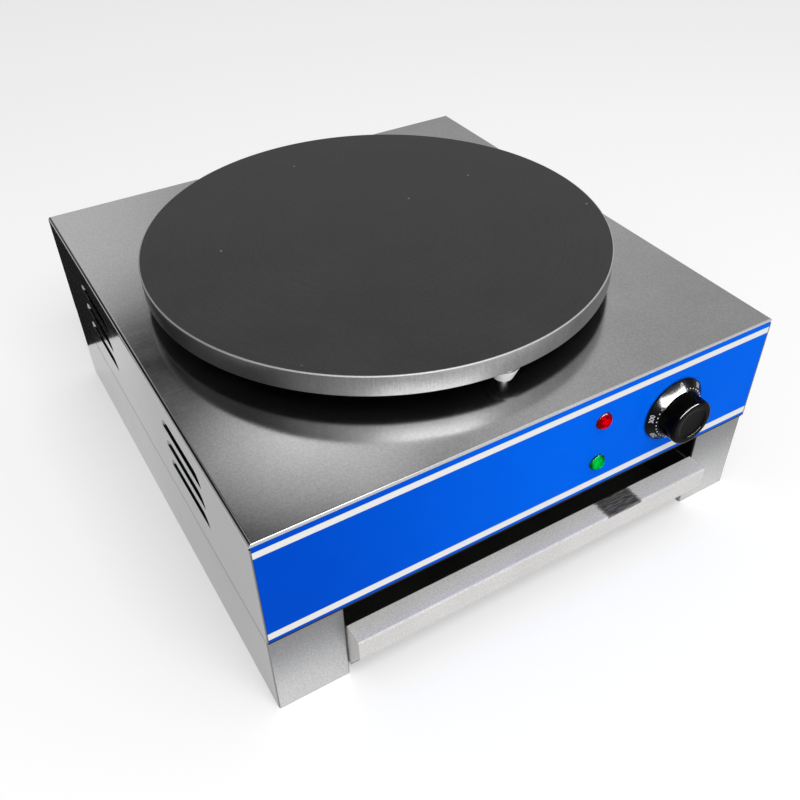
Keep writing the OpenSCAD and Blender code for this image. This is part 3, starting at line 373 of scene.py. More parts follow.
# The tray's inside is painted dark: painted shade inside the housing.
TRAY_INSIDE_SHADED = steel("tray_inside_painted_shade", rgb(0.15, 0.142, 0.135), 0.50, "y", 0.14, 0.50)
SPACER = steel("blasted_steel", grey(0.90), 0.55, "z", 0.10, 0.16, metal=0.4)
BRIGHT = steel("bright_steel", rgb(0.80, 0.80, 0.81), 0.18, "z", 0.06, 0.08)
ZINC = steel("zinc_plate", rgb(0.55, 0.56, 0.58), 0.38, "x", 0.12, 0.20)
BURNT = steel("heat_darkened", rgb(0.20, 0.16, 0.14), 0.48, "x", 0.15, 0.35)
BRASS = steel("terminal_brass", rgb(0.76, 0.60, 0.30), 0.32, "x", 0.10, 0.12)
COPPER = steel("drawn_copper", rgb(0.74, 0.42, 0.27), 0.30, "x", 0.12, 0.18)
# A lighter grey for the plate's top corner: painted highlight along the edge.
IRON_CORNER_HIGHLIGHT = steel("painted_corner_highlight", grey(0.66), 0.55, "x", 0.05, 0.30)
# Dark raw casting for the plate's underside; on the lugs' feet it also paints the shade line
# above each spacer.
IRON_RAW_AND_SHADE = steel("raw_casting_and_painted_shade", grey(0.10), 0.62, "x", 0.10, 0.40)
print("metal finishes:", len(bpy.data.materials))

# %% [markdown]
# ## Cast iron
# The plate is cast, then turned flat on a lathe and seasoned with oil. Turning leaves very fine
# rings, seasoning makes it dark and almost matt with faint clouds, and a casting always has a
# few small pits. The rings need a distance from the plate's axis, so the first helper turns a
# place into a radius and an angle. The pits are the middles of a few scattered cells, picked by
# their random colour.

# %% Seasoned face
RINGS = 900
PIT_CELLS = 16.0
PIT_RIM = (0.010, 0.022)
PIT_RARITY = (0.80, 0.82)
SEASONED_TONES = (grey(0.020), grey(0.048))
PIT_TONE = grey(0.30)


def polar(at):
    """Distance from the plate's axis, the angle around it in turns, and the height."""
    centred = at.node("ShaderNodeVectorMath", {"operation": "SUBTRACT"},
                      {0: at, 1: (PLATE_MID.x, PLATE_MID.y, 0)})
    x, y, z = axes(centred)
    radius = (x * x + y * y) ** 0.5
    turns = y.math("ARCTAN2", x) / (2 * math.pi)
    return radius, turns, z


def wrapped_noise(at, rough, **place):
    """Noise over two coordinates around the plate, such as radius and angle."""
    where = at.node("ShaderNodeCombineXYZ", inputs=place)
    return at.node("ShaderNodeTexNoise", inputs={
        "Vector": where, "Scale": 1.0, "Detail": 3.0, "Roughness": rough})


def seasoned():
    material, at = start("seasoned_iron")
    radius, turns, _ = polar(at)
    rings = wrapped_noise(at, 0.7, X=radius * RINGS, Y=turns * 3)
    cloud = noise(at, 14, 5, rough=0.6)
    sand = noise(at, 900)
    cells = at.node("ShaderNodeTexVoronoi", {"feature": "F1", "voronoi_dimensions": "2D"},
                    {"Vector": at, "Scale": PIT_CELLS}, out="Distance")
    rarity = at.node("ShaderNodeSeparateColor", inputs={0: cells.twin("Color")})
    pit = (1 - cells.ramp(*PIT_RIM)) * rarity.ramp(*PIT_RARITY)
    shade = 0.30 * cloud + 0.45 * sand + 0.25 * rings
    face = shade.ramp(0.25, 0.75).blend(*SEASONED_TONES)
    relief = 0.5 * sand + 0.5 * rings - 1.5 * pit
    return close(material, at, Base_Color=(0.7 * pit).blend(face, PIT_TONE), Metallic=0.0,
                 Roughness=0.50 + 0.16 * (cloud - 0.5), Specular_IOR_Level=0.30,
                 Normal=bump(at, relief, 0.06 * MM, 0.6))


IRON_FACE = seasoned()
print("face:", IRON_FACE.name)

# %% [markdown]
# The rim is turned too but not seasoned, so it stays a lighter grey with tool chatter running up
# it, and one side of it is painted darker as shade. The painted shade is a distance in angle from
# its middle, and the fraction keeps it whole where the angle jumps from half a turn to minus half
# a turn.

# %% Turned rim
CHATTER = 1500
RIM_TONES = (grey(0.10), grey(0.60))
RIM_SHADE_AT = -0.47
RIM_SHADE_HALF = 0.17


def turned_rim():
    material, at = start("turned_rim")
    _, turns, height = polar(at)
    chatter = wrapped_noise(at, 0.6, X=turns * CHATTER, Y=height * 60)
    stain = noise(at, 30, 4, rough=0.6)
    # Painted shade: the rim is darkened on one side, around one angle.
    off = ((turns - RIM_SHADE_AT + 0.5).math("FRACT") - 0.5).math("ABSOLUTE")
    shaded_side = 1 - off.ramp(RIM_SHADE_HALF * 0.3, RIM_SHADE_HALF)
    speck = noise(at, 700, 1)
    shade = (0.36 * chatter + 0.34 * stain + 0.30 * speck) * (1 - 0.75 * shaded_side)
    return close(material, at, Base_Color=shade.blend(*RIM_TONES), Metallic=1.0,
                 Roughness=0.32 + 0.14 * (chatter - 0.5),
                 Normal=bump(at, chatter, 0.05 * MM, 0.5))


IRON_RIM = turned_rim()
print("rim:", IRON_RIM.name)

# %% [markdown]
# ## Printed film on the front panel
# The front panel wears a blue film with two white lines, one near each long edge. A line follows
# the panel's height only, so it is a mask on Z: a smooth step up times a smooth step down. The
# blue is paler to the right and darker to the left: painted light, as the light falls off across
# the panel.

# %% Blue film with white lines
UPPER_LINE = (172.2 * MM, 178.0 * MM)
LOWER_LINE = (87.5 * MM, 94.0 * MM)
LINE_SOFT = 0.25 * MM
# A darker and a paler blue: painted light falling off to the left.
BLUE_LEFT = rgb(0.0, 0.080, 0.66)
BLUE_RIGHT = rgb(0.0, 0.150, 0.97)
WHITE = rgb(0.92, 0.91, 0.88)


def band(z, edges):
    """1 between two heights, with soft edges."""
    bottom, top = edges
    return z.ramp(bottom - LINE_SOFT, bottom + LINE_SOFT) \
        * (1 - z.ramp(top - LINE_SOFT, top + LINE_SOFT))


def printed_film():
    material, at = start("printed_film")
    x, _, z = axes(at)
    lines = band(z, UPPER_LINE).math("MAXIMUM", band(z, LOWER_LINE))
    cloud = noise(at, 30, 3)
    peel = noise(at, 600)
    # Painted light: the blue darkens towards the left, with random mottle on top.
    light_falloff_and_mottle = x.ramp(-HALF_W, 0.2 * HALF_W) * 0.9 + 0.2 * (cloud - 0.5)
    blue = light_falloff_and_mottle.blend(BLUE_LEFT, BLUE_RIGHT)
    return close(material, at, Base_Color=lines.blend(blue, WHITE), Metallic=0.0,
                 Roughness=0.38 + 0.08 * (cloud - 0.5), Specular_IOR_Level=0.005,
                 Normal=bump(at, peel, 0.02 * MM, 0.3))


FILM = printed_film()
print("film from", round(FILM_BOTTOM, 4), "to", round(high("front_film").z, 4))

# %% [markdown]
# ## Mouldings, lenses and leads
# The knob is a glossy black moulding, the lamps are clear coloured plastic in a darker bezel,
# and the parts inside are glazed ceramic, pale plastic and silicone sleeving. Each is one small
# function of colour and gloss, with a fine texture, because even a plain moulding isn't
# flawless. The lenses are given a faint painted glow, which stands for the light that clear
# plastic gathers.

# %% Plastic finishes
def moulding(name, colour, rough, coat=0.0, grain=500, depth=0.02 * MM, vary=0.25,
             shine=0.5):
    material, at = start(name)
    speck = noise(at, grain)
    cloud = noise(at, 60, 3)
    return close(material, at, Base_Color=cloud.blend(darker(colour, 1 - vary), colour),
                 Roughness=rough + 0.10 * (cloud - 0.5), Coat_Weight=coat,
                 Coat_Roughness=0.05, Specular_IOR_Level=shine,
                 Normal=bump(at, speck, depth, 0.3))


def clear_colour(name, colour, glow, shine):
    material, at = start(name)
    cloud = noise(at, 300)
    shade = cloud.ramp(0.36, 0.56)
    return close(material, at, Base_Color=shade.blend(darker(colour, 0.30), colour),
                 Roughness=0.12 + 0.05 * cloud, Specular_IOR_Level=shine,
                 Emission_Color=colour, Emission_Strength=glow)


GLOSS_BLACK = moulding("gloss_black", grey(0.0015), 0.09, shine=0.025)
DIAL_BLACK = moulding("dial_black", grey(0.002), 0.16, shine=0.05)
DIAL_INK = moulding("dial_ink", rgb(0.82, 0.84, 0.86), 0.60)
MATT_BLACK = moulding("matt_black", rgb(0.035, 0.035, 0.036), 0.55, 0.0, 900, 0.06 * MM)
# The lenses' faint emission is a painted glow.
RED_LENS = clear_colour("red_lens", rgb(0.72, 0.0, 0.006), 0.05, 0.0)
RED_BEZEL = clear_colour("red_bezel", rgb(0.16, 0.0, 0.001), 0.0, 0.05)
GREEN_LENS = clear_colour("green_lens", rgb(0.0, 0.62, 0.06), 0.06, 0.0)
GREEN_BEZEL = clear_colour("green_bezel", rgb(0.0, 0.13, 0.012), 0.0, 0.05)
PALE_PLASTIC = moulding("pale_plastic", rgb(0.78, 0.78, 0.75), 0.45)
CERAMIC = moulding("glazed_ceramic", rgb(0.80, 0.77, 0.68), 0.22, 0.4, 120, 0.05 * MM, 0.12)
BLANKET = moulding("fibre_blanket", rgb(0.80, 0.77, 0.68), 0.95, 0.0, 380, 0.6 * MM, 0.30)
SLEEVE_WHITE = moulding("white_sleeve", rgb(0.80, 0.78, 0.72), 0.55)
SLEEVE_BROWN = moulding("brown_sleeve", rgb(0.20, 0.07, 0.04), 0.50)
SLEEVE_GREEN = moulding("green_sleeve", rgb(0.24, 0.42, 0.05), 0.50)
print("finishes in all:", len(bpy.data.materials))

# %% [markdown]
# ## Giving each solid its finish
# A solid whose shape is right keeps its mesh and only gets a better material. The list below
# gives each finish the pieces that wear it, as a workshop would write it.

# %% Finish list
WEARERS = [
    (POLISHED_X, "top_cover"),
    (POLISHED_Y_SHADED, "left_side_panel right_side_panel"),
    (SATIN_X, "rear_panel base_rear_panel"),
    (SATIN_Z, "left_base right_base"),
    (FRONT_STEEL, "front_panel"),
    (FILM, "front_film"),
    (GALVANISED, "crumb_tray"),
    (IRON_RAW_AND_SHADE, "griddle_plate"),
    (SPACER, "plate_spacers"),
    (ZINC, "deck_plate left_tray_rail right_tray_rail plate_studs plate_nuts support_posts "
           "element_clamp heat_shield clamp_stud clamp_nut thermostat_screws lamp_nuts "
           "deck_screws"),
    (BRIGHT, "bulb_clips thermostat_spindle rear_panel_screws rail_rivets"),
    (BURNT, "outer_element inner_element"),
    (BRASS, "element_terminals terminal_screws earth_stud earth_nuts"),
    (COPPER, "thermostat_bulb capillary_tube"),
    (CERAMIC, "element_bushes terminal_block"),
    (BLANKET, "insulation_disc"),
    (GLOSS_BLACK, "knob"),
    (DIAL_BLACK, "dial_skirt"),
    (MATT_BLACK, "thermostat_body cable_gland gland_locknut"),
    (PALE_PLASTIC, "red_lamp_body green_lamp_body"),
    (RED_LENS, "red_lamp_lens"),
    (GREEN_LENS, "green_lamp_lens"),
    (SLEEVE_WHITE, "element_leads"),
    (SLEEVE_BROWN, "control_leads"),
    (SLEEVE_GREEN, "earth_lead"),
]
FINISH = {name: finish for finish, names in WEARERS for name in names.split()}
for name, solid in NODES.items():
    solid.data.materials.clear()
    solid.data.materials.append(FINISH[name])
print("solids finished:", len(NODES), "with", len(WEARERS), "finishes")

# %% [markdown]
# ## Soft edges on the sheet metal
# No real edge is perfectly sharp: a folded or cut edge is rounded by a few tenths of a
# millimetre, and that tiny round catches the light along every panel. The solids have sharp
# edges, so the pieces in view are copied, their loose triangles are merged, and a Bevel modifier
# rounds each edge. The copy then stands in for the solid.

# %% Copy a solid with rounded edges
MERGE_WITHIN = 1e-6
FLAT_WITHIN = math.radians(0.3)
SOFT_ANGLE = math.radians(30)
SOFT_CREASE = 40
BODY_OF = {node: body for body, nodes in RECORD["behaviour"]["bodies"].items()
           for node in nodes}


def adopt(piece, *nodes):
    """The piece rides with the first node's body, and stands for all of them."""
    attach(piece, BODY_OF[nodes[0]])
    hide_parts(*nodes)
    return piece


def new_object(name, mesh):
    piece = bpy.data.objects.new(name, mesh)
    bpy.context.scene.collection.objects.link(piece)
    return piece


def from_shell(name, shell):
    """A new object whose mesh is what the shell holds. The shell is freed."""
    mesh = bpy.data.meshes.new(name)
    shell.to_mesh(mesh)
    shell.free()
    return new_object(name, mesh)


def settle(piece):
    """Replaces a piece's mesh by what its modifiers make of it, and removes them."""
    shown = piece.evaluated_get(bpy.context.evaluated_depsgraph_get())
    mesh = bpy.data.meshes.new_from_object(shown)
    piece.modifiers.clear()
    piece.data = mesh
    return piece


def keep_creases(piece, angle=35):
    """Smooth shading that breaks at sharp corners, kept in the mesh."""
    piece.data.set_sharp_from_angle(angle=math.radians(angle))
    return piece


def merged_copy(node):
    """A node's mesh with its loose triangles joined and its flat faces whole."""
    mesh = NODES[node].data.copy()
    shell = bmesh.new()
    shell.from_mesh(mesh)
    bmesh.ops.remove_doubles(shell, verts=shell.verts, dist=MERGE_WITHIN)
    bmesh.ops.dissolve_limit(shell, angle_limit=FLAT_WITHIN, verts=shell.verts,
                             edges=shell.edges)
    shell.to_mesh(mesh)
    shell.free()
    return mesh


def softened(node, radius):
    """A copy of a node with rounded edges, which stands in for it."""
    piece = new_object(node + "_soft", merged_copy(node))
    for face in piece.data.polygons:
        face.use_smooth = True
    rounding = piece.modifiers.new("rounding", "BEVEL")
    rounding.width = radius
    rounding.segments = 2
    rounding.limit_method = "ANGLE"
    rounding.angle_limit = SOFT_ANGLE
    rounding.use_clamp_overlap = True
    keep_creases(settle(piece), SOFT_CREASE)
    flat_first = piece.modifiers.new("flat_first", "WEIGHTED_NORMAL")
    flat_first.mode = "FACE_AREA"
    flat_first.weight = 100
    flat_first.keep_sharp = True
    return adopt(settle(piece), node)


print("bodies:", sorted(set(BODY_OF.values())))

# %% [markdown]
# A thin sheet gets a smaller round than a thick moulding. The table gives each piece's round in
# millimetres.

# %% Soften the pieces in view
SOFT_EDGE = {
    "top_cover": 0.25, "left_side_panel": 0.2, "right_side_panel": 0.2, "rear_panel": 0.2,
    "front_panel": 0.25, "left_base": 0.3, "right_base": 0.3, "base_rear_panel": 0.3,
    "crumb_tray": 0.25, "cable_gland": 0.5, "plate_spacers": 0.5, "earth_nuts": 0.3,
    "plate_nuts": 0.5,
}
for node, radius in SOFT_EDGE.items():
    piece = softened(node, radius * MM)
    print(node, len(piece.data.polygons), "faces")

# %% [markdown]
# ## Closed ends on the tray's lip
# The lip is a channel folded from the tray's own sheet, and at each end the side wall reaches
# forward as a flap, so that no raw edge or dark hollow shows. Each flap is one flat outline: the
# lip's two rounded bends in front, and a slope from the lip's foot down to the tray's floor. It
# is then given the sheet's thickness.

# %% End flaps of the lip
FLAP_T = 0.9 * MM
FLAP_BEND = 1.7 * MM
FLAP_FOOT = 37.0 * MM
FLAP_TOP = LIP_TOP - 0.4 * MM
FLAP_INSET = 0.05 * MM
FLAP_FRONT = low("crumb_tray").y + 0.15 * MM
FLAP_BACK = low("left_base").y + 0.5 * MM
FLAP_BOTTOM = low("crumb_tray").z + 0.1 * MM


def arc(centre, radius, first, last, steps):
    """Points on an arc, from one angle to another, in degrees."""
    turns = [math.radians(first + (last - first) * k / steps) for k in range(steps + 1)]
    return [(centre[0] + radius * math.cos(t), centre[1] + radius * math.sin(t))
            for t in turns]


def end_flap(name, x):
    bend_y = FLAP_FRONT + FLAP_BEND
    outline = [(FLAP_BACK, FLAP_TOP), (FLAP_BACK, FLAP_BOTTOM)]
    outline += arc((bend_y, FLAP_FOOT + FLAP_BEND), FLAP_BEND, -90, -180, 5)
    outline += arc((bend_y, FLAP_TOP - FLAP_BEND), FLAP_BEND, 180, 90, 5)
    shell = bmesh.new()
    face = shell.faces.new([shell.verts.new((x, y, z)) for y, z in outline])
    wall = bmesh.ops.extrude_face_region(shell, geom=[face])["geom"]
    moved = [item for item in wall if isinstance(item, bmesh.types.BMVert)]
    bmesh.ops.translate(shell, verts=moved, vec=(FLAP_T, 0, 0))
    bmesh.ops.recalc_face_normals(shell, faces=shell.faces)
    flap = from_shell(name, shell)
    flap.data.materials.append(GALVANISED)
    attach(flap, "crumb_tray")


end_flap("tray_left_flap", low("crumb_tray").x + FLAP_INSET)
end_flap("tray_right_flap", high("crumb_tray").x - FLAP_T - FLAP_INSET)
print("flap height", round(FLAP_TOP - FLAP_FOOT, 4))

# %% [markdown]
# ## Faces with a finish of their own
# A base leg is folded from the same sheet as the side panels, so its outer side is polished like
# them, with their darker tone of painted shade, its front is satin, and its inner side, in the
# tray's slot, is painted almost black as shade. The tray is galvanised, but its inside is painted
# dark as shade. Those faces are picked by the place of their middle. The small bright spacers are
# hidden from reflections, so that the polished top doesn't repeat them as stray dots of light.

# %% Give some faces another finish
SIDEWAYS = 0.5
LEG_WALL = 1 * MM
LEG_INNER_X = HALF_W - 40 * MM
TRAY_MID = middle("crumb_tray")
TRAY_WALL = 0.4 * MM
TRAY_FRONT = FRONT_Y + 1.5 * MM


def refinish(name, finish, picked):
    """Gives the faces whose middle and normal pass the test another finish."""
    mesh = bpy.data.objects[name].data
    mesh.materials.append(finish)
    count = 0
    for face in mesh.polygons:
        if picked(face.center, face.normal):
            face.material_index = len(mesh.materials) - 1
            count += 1
    print(name, "faces with", finish.name, count)


for leg in ("left_base_soft", "right_base_soft"):
    refinish(leg, POLISHED_Y_SHADED, lambda at, normal:
             abs(at.x) > HALF_W - LEG_WALL and abs(normal.x) > SIDEWAYS)
    refinish(leg, SLOT_SIDE_SHADED, lambda at, normal:
             abs(at.x) < LEG_INNER_X and abs(normal.x) > SIDEWAYS)
# The tray's inside faces get the painted shade.
refinish("crumb_tray_soft", TRAY_INSIDE_SHADED, lambda at, normal: at.y > TRAY_FRONT
         and abs(at.x - TRAY_MID.x) < half_width("crumb_tray") - TRAY_WALL)
bpy.data.objects["plate_spacers_soft"].visible_glossy = False

# %% [markdown]
# ## The plate as a turned piece
# The plate is round and was made on a lathe, so its mesh is made the same way: a profile of
# radius and height is spun about the axis. Arcs in the profile give the rim its rounded lower
# edge and its crisp upper corner. The faces of each stretch of the profile keep their own
# finish, which no single material could give. The upper corner is given a lighter grey, a
# painted highlight along the edge.

# %% Spin a profile
ON_AXIS = 1e-7


def spun(name, profile, finishes=None, sides=128, flat=False):
    """A piece spun about Z from (radius, height) points, with a finish for each stretch."""
    shell = bmesh.new()
    rows = []
    for radius, height in profile:
        if radius < ON_AXIS:
            rows.append([shell.verts.new((0, 0, height))])
            continue
        turns = [2 * math.pi * k / sides for k in range(sides)]
        rows.append([shell.verts.new((radius * math.cos(t), radius * math.sin(t), height))
                     for t in turns])
    for index, (first, second) in enumerate(zip(rows, rows[1:])):
        for k in range(sides):
            n = (k + 1) % sides
            ring = [first[k % len(first)], first[n % len(first)],
                    second[n % len(second)], second[k % len(second)]]
            corners = list(dict.fromkeys(ring))
            face = shell.faces.new(corners)
            face.material_index = finishes[index] if finishes else 0
            face.smooth = not flat
    bmesh.ops.recalc_face_normals(shell, faces=shell.faces)
    return from_shell(name, shell)


print("lathe ready")

# %% [markdown]
# The profile starts in the middle of the face, runs over the rim and ends in the middle of the
# underside. A second list says which of the four finishes each stretch gets.

# %% The plate's profile
LUG_BOTTOM = low("griddle_plate").z
RIM_BOTTOM = LUG_BOTTOM + 2 * MM
RIM_IN = PLATE_R - 18 * MM
WEB_UNDER = PLATE_TOP - 12 * MM
CORNER = 0.9 * MM
BOTTOM_ROUND = 0.8 * MM
PLATE_SIDES = 256
FACE, RIM, EDGE, UNDER = range(4)


def plate_profile():
    """The points of the profile, and the finish of each stretch between two of them."""
    top = [(0, PLATE_TOP), (PLATE_R * 0.5, PLATE_TOP), (PLATE_R - CORNER * 1.2, PLATE_TOP)]
    corner = arc((PLATE_R - CORNER, PLATE_TOP - CORNER), CORNER, 90, 0, 4)
    side = [(PLATE_R, (PLATE_TOP + RIM_BOTTOM) / 2)]
    foot = arc((PLATE_R - BOTTOM_ROUND, RIM_BOTTOM + BOTTOM_ROUND), BOTTOM_ROUND, 0, -90, 5)
    under = [(RIM_IN, RIM_BOTTOM), (RIM_IN, WEB_UNDER), (0, WEB_UNDER)]
    points = top + corner + side + foot + under
    kinds = [FACE] * 2 + [EDGE] * 5 + [RIM] * 7 + [UNDER] * 3
    return points, kinds


plate = spun("plate_turned", *plate_profile(), PLATE_SIDES)
plate.data.transform(Matrix.Translation((PLATE_MID.x, PLATE_MID.y, 0)))
for finish in (IRON_FACE, IRON_RIM, IRON_CORNER_HIGHLIGHT, IRON_RAW_AND_SHADE):
    plate.data.materials.append(finish)
keep_creases(plate)
print("plate faces", len(plate.data.polygons))

# %% [markdown]
# The three lugs are cast in one with the plate, so they join its mesh. They stand where the
# spacers stand, which gives their places without a number: each part of the spacers' mesh that
# hangs together is one spacer.

# %% Lugs
LUG_R = 12.4 * MM
LUG_ROUND = 1 * MM
LUG_SIDES = 48


def islands(node):
    """The middle of each separate solid in a node, from its merged mesh."""
    mesh = merged_copy(node)
    shell = bmesh.new()
    shell.from_mesh(mesh)
    left, middles = set(shell.verts), []
    while left:
        stack, found = [left.pop()], []
        while stack:
            vertex = stack.pop()
            found.append(vertex.co.copy())
            for edge in vertex.link_edges:
                other = edge.other_vert(vertex)
                if other in left:
                    left.remove(other)
                    stack.append(other)
        lows = [min(c[i] for c in found) for i in range(3)]
        highs = [max(c[i] for c in found) for i in range(3)]
        middles.append(Vector([(a + b) / 2 for a, b in zip(lows, highs)]))
    shell.free()
    bpy.data.meshes.remove(mesh)
    return middles


def join(pieces, name):
    """One mesh from several, keeping each piece's materials."""
    shell = bmesh.new()
    materials = []
    for piece in pieces:
        slots = []
        for material in piece.data.materials:
            if material not in materials:
                materials.append(material)
            slots.append(materials.index(material))
        before = len(shell.faces)
        shell.from_mesh(piece.data)
        shell.faces.ensure_lookup_table()
        for face in shell.faces[before:]:
            face.material_index = slots[face.material_index]
        bpy.data.objects.remove(piece)
    joined = from_shell(name, shell)
    for material in materials:
        joined.data.materials.append(material)
    return joined


def lug(place):
    profile = [(0, WEB_UNDER), (LUG_R, WEB_UNDER)]
    profile += arc((LUG_R - LUG_ROUND, LUG_BOTTOM + LUG_ROUND), LUG_ROUND, 0, -90, 4)
    profile += [(0, LUG_BOTTOM)]
    kinds = [0] * 2 + [1] * (len(profile) - 3)
    piece = spun("lug", profile, kinds, LUG_SIDES)
    piece.data.transform(Matrix.Translation((place.x, place.y, 0)))
    # The lug's rounded foot wears the dark casting, which also paints the shade line above the
    # spacer.
    for finish in (IRON_RIM, IRON_RAW_AND_SHADE):
        piece.data.materials.append(finish)
    return keep_creases(piece)


lugs = [lug(place) for place in islands("plate_spacers")]
adopt(join([plate] + lugs, "griddle_plate_turned"), "griddle_plate")
print("lugs:", len(lugs))

# %% [markdown]
# ## The knob
# The cap is a glossy cup with a shallow round dish in its face, a raised lip round the dish
# and a fine step near its foot. It is spun like the plate and then turned so that its axis
# points at the cook.

# %% Knob cap
def facing_front(mesh, y):
    """Turns a mesh spun about Z so that its +Z end points to -Y, on the knob's axis."""
    mesh.transform(Matrix.Translation((KNOB_MID.x, y, KNOB_MID.z))
                   @ Matrix.Rotation(math.radians(90), 4, "X"))


CAP_BACK = high("knob").y
CAP_H = CAP_BACK - low("knob").y
CAP_ROUND = 2.4 * MM
CAP_WALL = 1.4 * MM
CAP_FOOT = (1.2 * MM, 1.5 * MM)
CAP_R = KNOB_R - 0.35 * MM
LIP_ROUND = 0.5 * MM
DISH_R = KNOB_R * 0.66
DISH_Z = CAP_H - 1.0 * MM


def cap_profile():
    """From the middle of the hollow back, round the foot and the lip, to the dish."""
    inner = KNOB_R - CAP_WALL
    back = [(0, DISH_Z - CAP_WALL), (inner * 0.9, DISH_Z - CAP_WALL),
            (inner, DISH_Z - 2 * CAP_WALL), (inner, 0)]
    side = [(KNOB_R, 0), (KNOB_R, CAP_FOOT[0]), (CAP_R, CAP_FOOT[1]),
            (CAP_R, CAP_H - CAP_ROUND - 0.4 * MM)]
    edge = arc((CAP_R - CAP_ROUND, CAP_H - CAP_ROUND), CAP_ROUND, 0, 90, 8)
    lip = arc((DISH_R + LIP_ROUND, CAP_H - LIP_ROUND), LIP_ROUND, 90, 180, 4)
    floor = [(DISH_R * 0.93, DISH_Z + 0.2 * MM), (DISH_R * 0.75, DISH_Z), (0, DISH_Z)]
    return back + side + edge + lip + floor


cap = spun("knob_cap", cap_profile())
facing_front(cap.data, CAP_BACK)
cap.data.materials.append(GLOSS_BLACK)
adopt(keep_creases(cap, 50), "knob")
print("cap height", round(CAP_H, 4))

# %% [markdown]
# ## The dial
# The dial is a shallow cone behind the cap. Its scale is a ring of fine dots next to the cap
# and plain temperatures further out. The dots repeat round a circle, which is what Geometry
# Nodes are for: a circle with one point per dot, a flattened ball on each point, made real.

# %% Geometry Nodes tree for a ring of dots
BALL_SUBDIVISIONS = 2
DOT_FLATNESS = 0.45


def dot_ring_tree():
    tree = bpy.data.node_groups.new("dot_ring", "GeometryNodeTree")
    face = tree.interface
    kinds = {"Count": "NodeSocketInt", "Ring radius": "NodeSocketFloat",
             "Dot radius": "NodeSocketFloat", "Height": "NodeSocketFloat",
             "Finish": "NodeSocketMaterial"}
    sockets = {name: face.new_socket(name, in_out="INPUT", socket_type=kind)
               for name, kind in kinds.items()}
    face.new_socket("Dots", in_out="OUTPUT", socket_type="NodeSocketGeometry")
    given = tree.nodes.new("NodeGroupInput")
    circle = tree.nodes.new("GeometryNodeMeshCircle")
    ball = tree.nodes.new("GeometryNodeMeshIcoSphere")
    put = tree.nodes.new("GeometryNodeInstanceOnPoints")
    lift = tree.nodes.new("GeometryNodeTransform")
    rise = tree.nodes.new("ShaderNodeCombineXYZ")
    real = tree.nodes.new("GeometryNodeRealizeInstances")
    paint = tree.nodes.new("GeometryNodeSetMaterial")
    result = tree.nodes.new("NodeGroupOutput")
    ball.inputs["Subdivisions"].default_value = BALL_SUBDIVISIONS
    put.inputs["Scale"].default_value = (1, 1, DOT_FLATNESS)
    links = [(given, "Count", circle, "Vertices"),
             (given, "Ring radius", circle, "Radius"),
             (given, "Dot radius", ball, "Radius"),
             (circle, "Mesh", put, "Points"),
             (ball, "Mesh", put, "Instance"),
             (put, "Instances", lift, "Geometry"),
             (given, "Height", rise, "Z"),
             (rise, "Vector", lift, "Translation"),
             (lift, "Geometry", real, "Geometry"),
             (real, "Geometry", paint, "Geometry"),
             (given, "Finish", paint, "Material"),
             (paint, "Geometry", result, "Dots")]
    for source, out, target, into in links:
        tree.links.new(source.outputs[out], target.inputs[into])
    return tree, {name: socket.identifier for name, socket in sockets.items()}


def dot_ring(name, **values):
    """A ring of dots as a plain mesh. A value's name is written with underscores."""
    tree, keys = dot_ring_tree()
    piece = new_object(name, bpy.data.meshes.new(name))
    modifier = piece.modifiers.new("dots", "NODES")
    modifier.node_group = tree
    for key, value in values.items():
        modifier[keys[key.replace("_", " ")]] = value
    return settle(piece)


print("dot flatness:", DOT_FLATNESS)

# %% [markdown]
# One straight rule gives the cone's height at any radius, for its own profile, for the dots and
# for the numbers, so that all of them lie on the same face.

# %% Dial cone and its dots
SKIRT_BACK = high("dial_skirt").y
SKIRT_H = SKIRT_BACK - low("dial_skirt").y
SKIRT_R = half_width("dial_skirt")
SKIRT_BORE = 3.1 * MM
SKIRT_WALL = 1.4 * MM
SKIRT_ROUND = 0.3 * MM
CONE_IN = KNOB_R + 0.5 * MM
RIM_STEP = 1.0 * MM
DOT_COUNT = 36
DOT_R = 0.70 * MM
DOT_RING_R = KNOB_R + 2.0 * MM


def cone_at(radius):
    """Height of the dial's face above its back edge, at a distance from the axis."""
    share = (SKIRT_R - radius) / (SKIRT_R - CONE_IN)
    return RIM_STEP + (SKIRT_H - RIM_STEP) * share


def dial_profile():
    under = SKIRT_H - SKIRT_WALL
    shoulder = SKIRT_R - 0.4 * MM
    return [(SKIRT_BORE, SKIRT_H), (SKIRT_BORE, under), (CONE_IN - SKIRT_WALL, under),
            (SKIRT_R - SKIRT_WALL, 0), (SKIRT_R - SKIRT_ROUND, 0), (SKIRT_R, SKIRT_ROUND),
            (SKIRT_R, RIM_STEP - SKIRT_ROUND), (shoulder, cone_at(shoulder)),
            (CONE_IN, SKIRT_H), (SKIRT_BORE, SKIRT_H)]


dial = spun("dial_cone", dial_profile())
facing_front(dial.data, SKIRT_BACK)
dial.data.materials.append(DIAL_BLACK)
adopt(keep_creases(dial, 30), "dial_skirt")

dots = dot_ring("dial_dots", Count=DOT_COUNT, Ring_radius=DOT_RING_R, Dot_radius=DOT_R,
                Height=cone_at(DOT_RING_R), Finish=DIAL_INK)
facing_front(dots.data, SKIRT_BACK)
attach(dots, "control_knob")
print("dots", len(dots.data.polygons), "faces")

# %% [markdown]
# The temperatures are plain numbers. Text is flat, so it becomes a mesh with a little thickness,
# and every point is wrapped onto the cone: its x becomes an angle and its y a distance along the
# cone's slope.

# %% Numbers on the dial
NUMBER_SIZE = 5.4 * MM
NUMBER_R = KNOB_R + 5.5 * MM
NUMBER_LIFT = 0.12 * MM
SCALE = ["0", "50", "100", "150", "200", "250", "300"]
SCALE_FIRST = 90
SCALE_STEP = 46


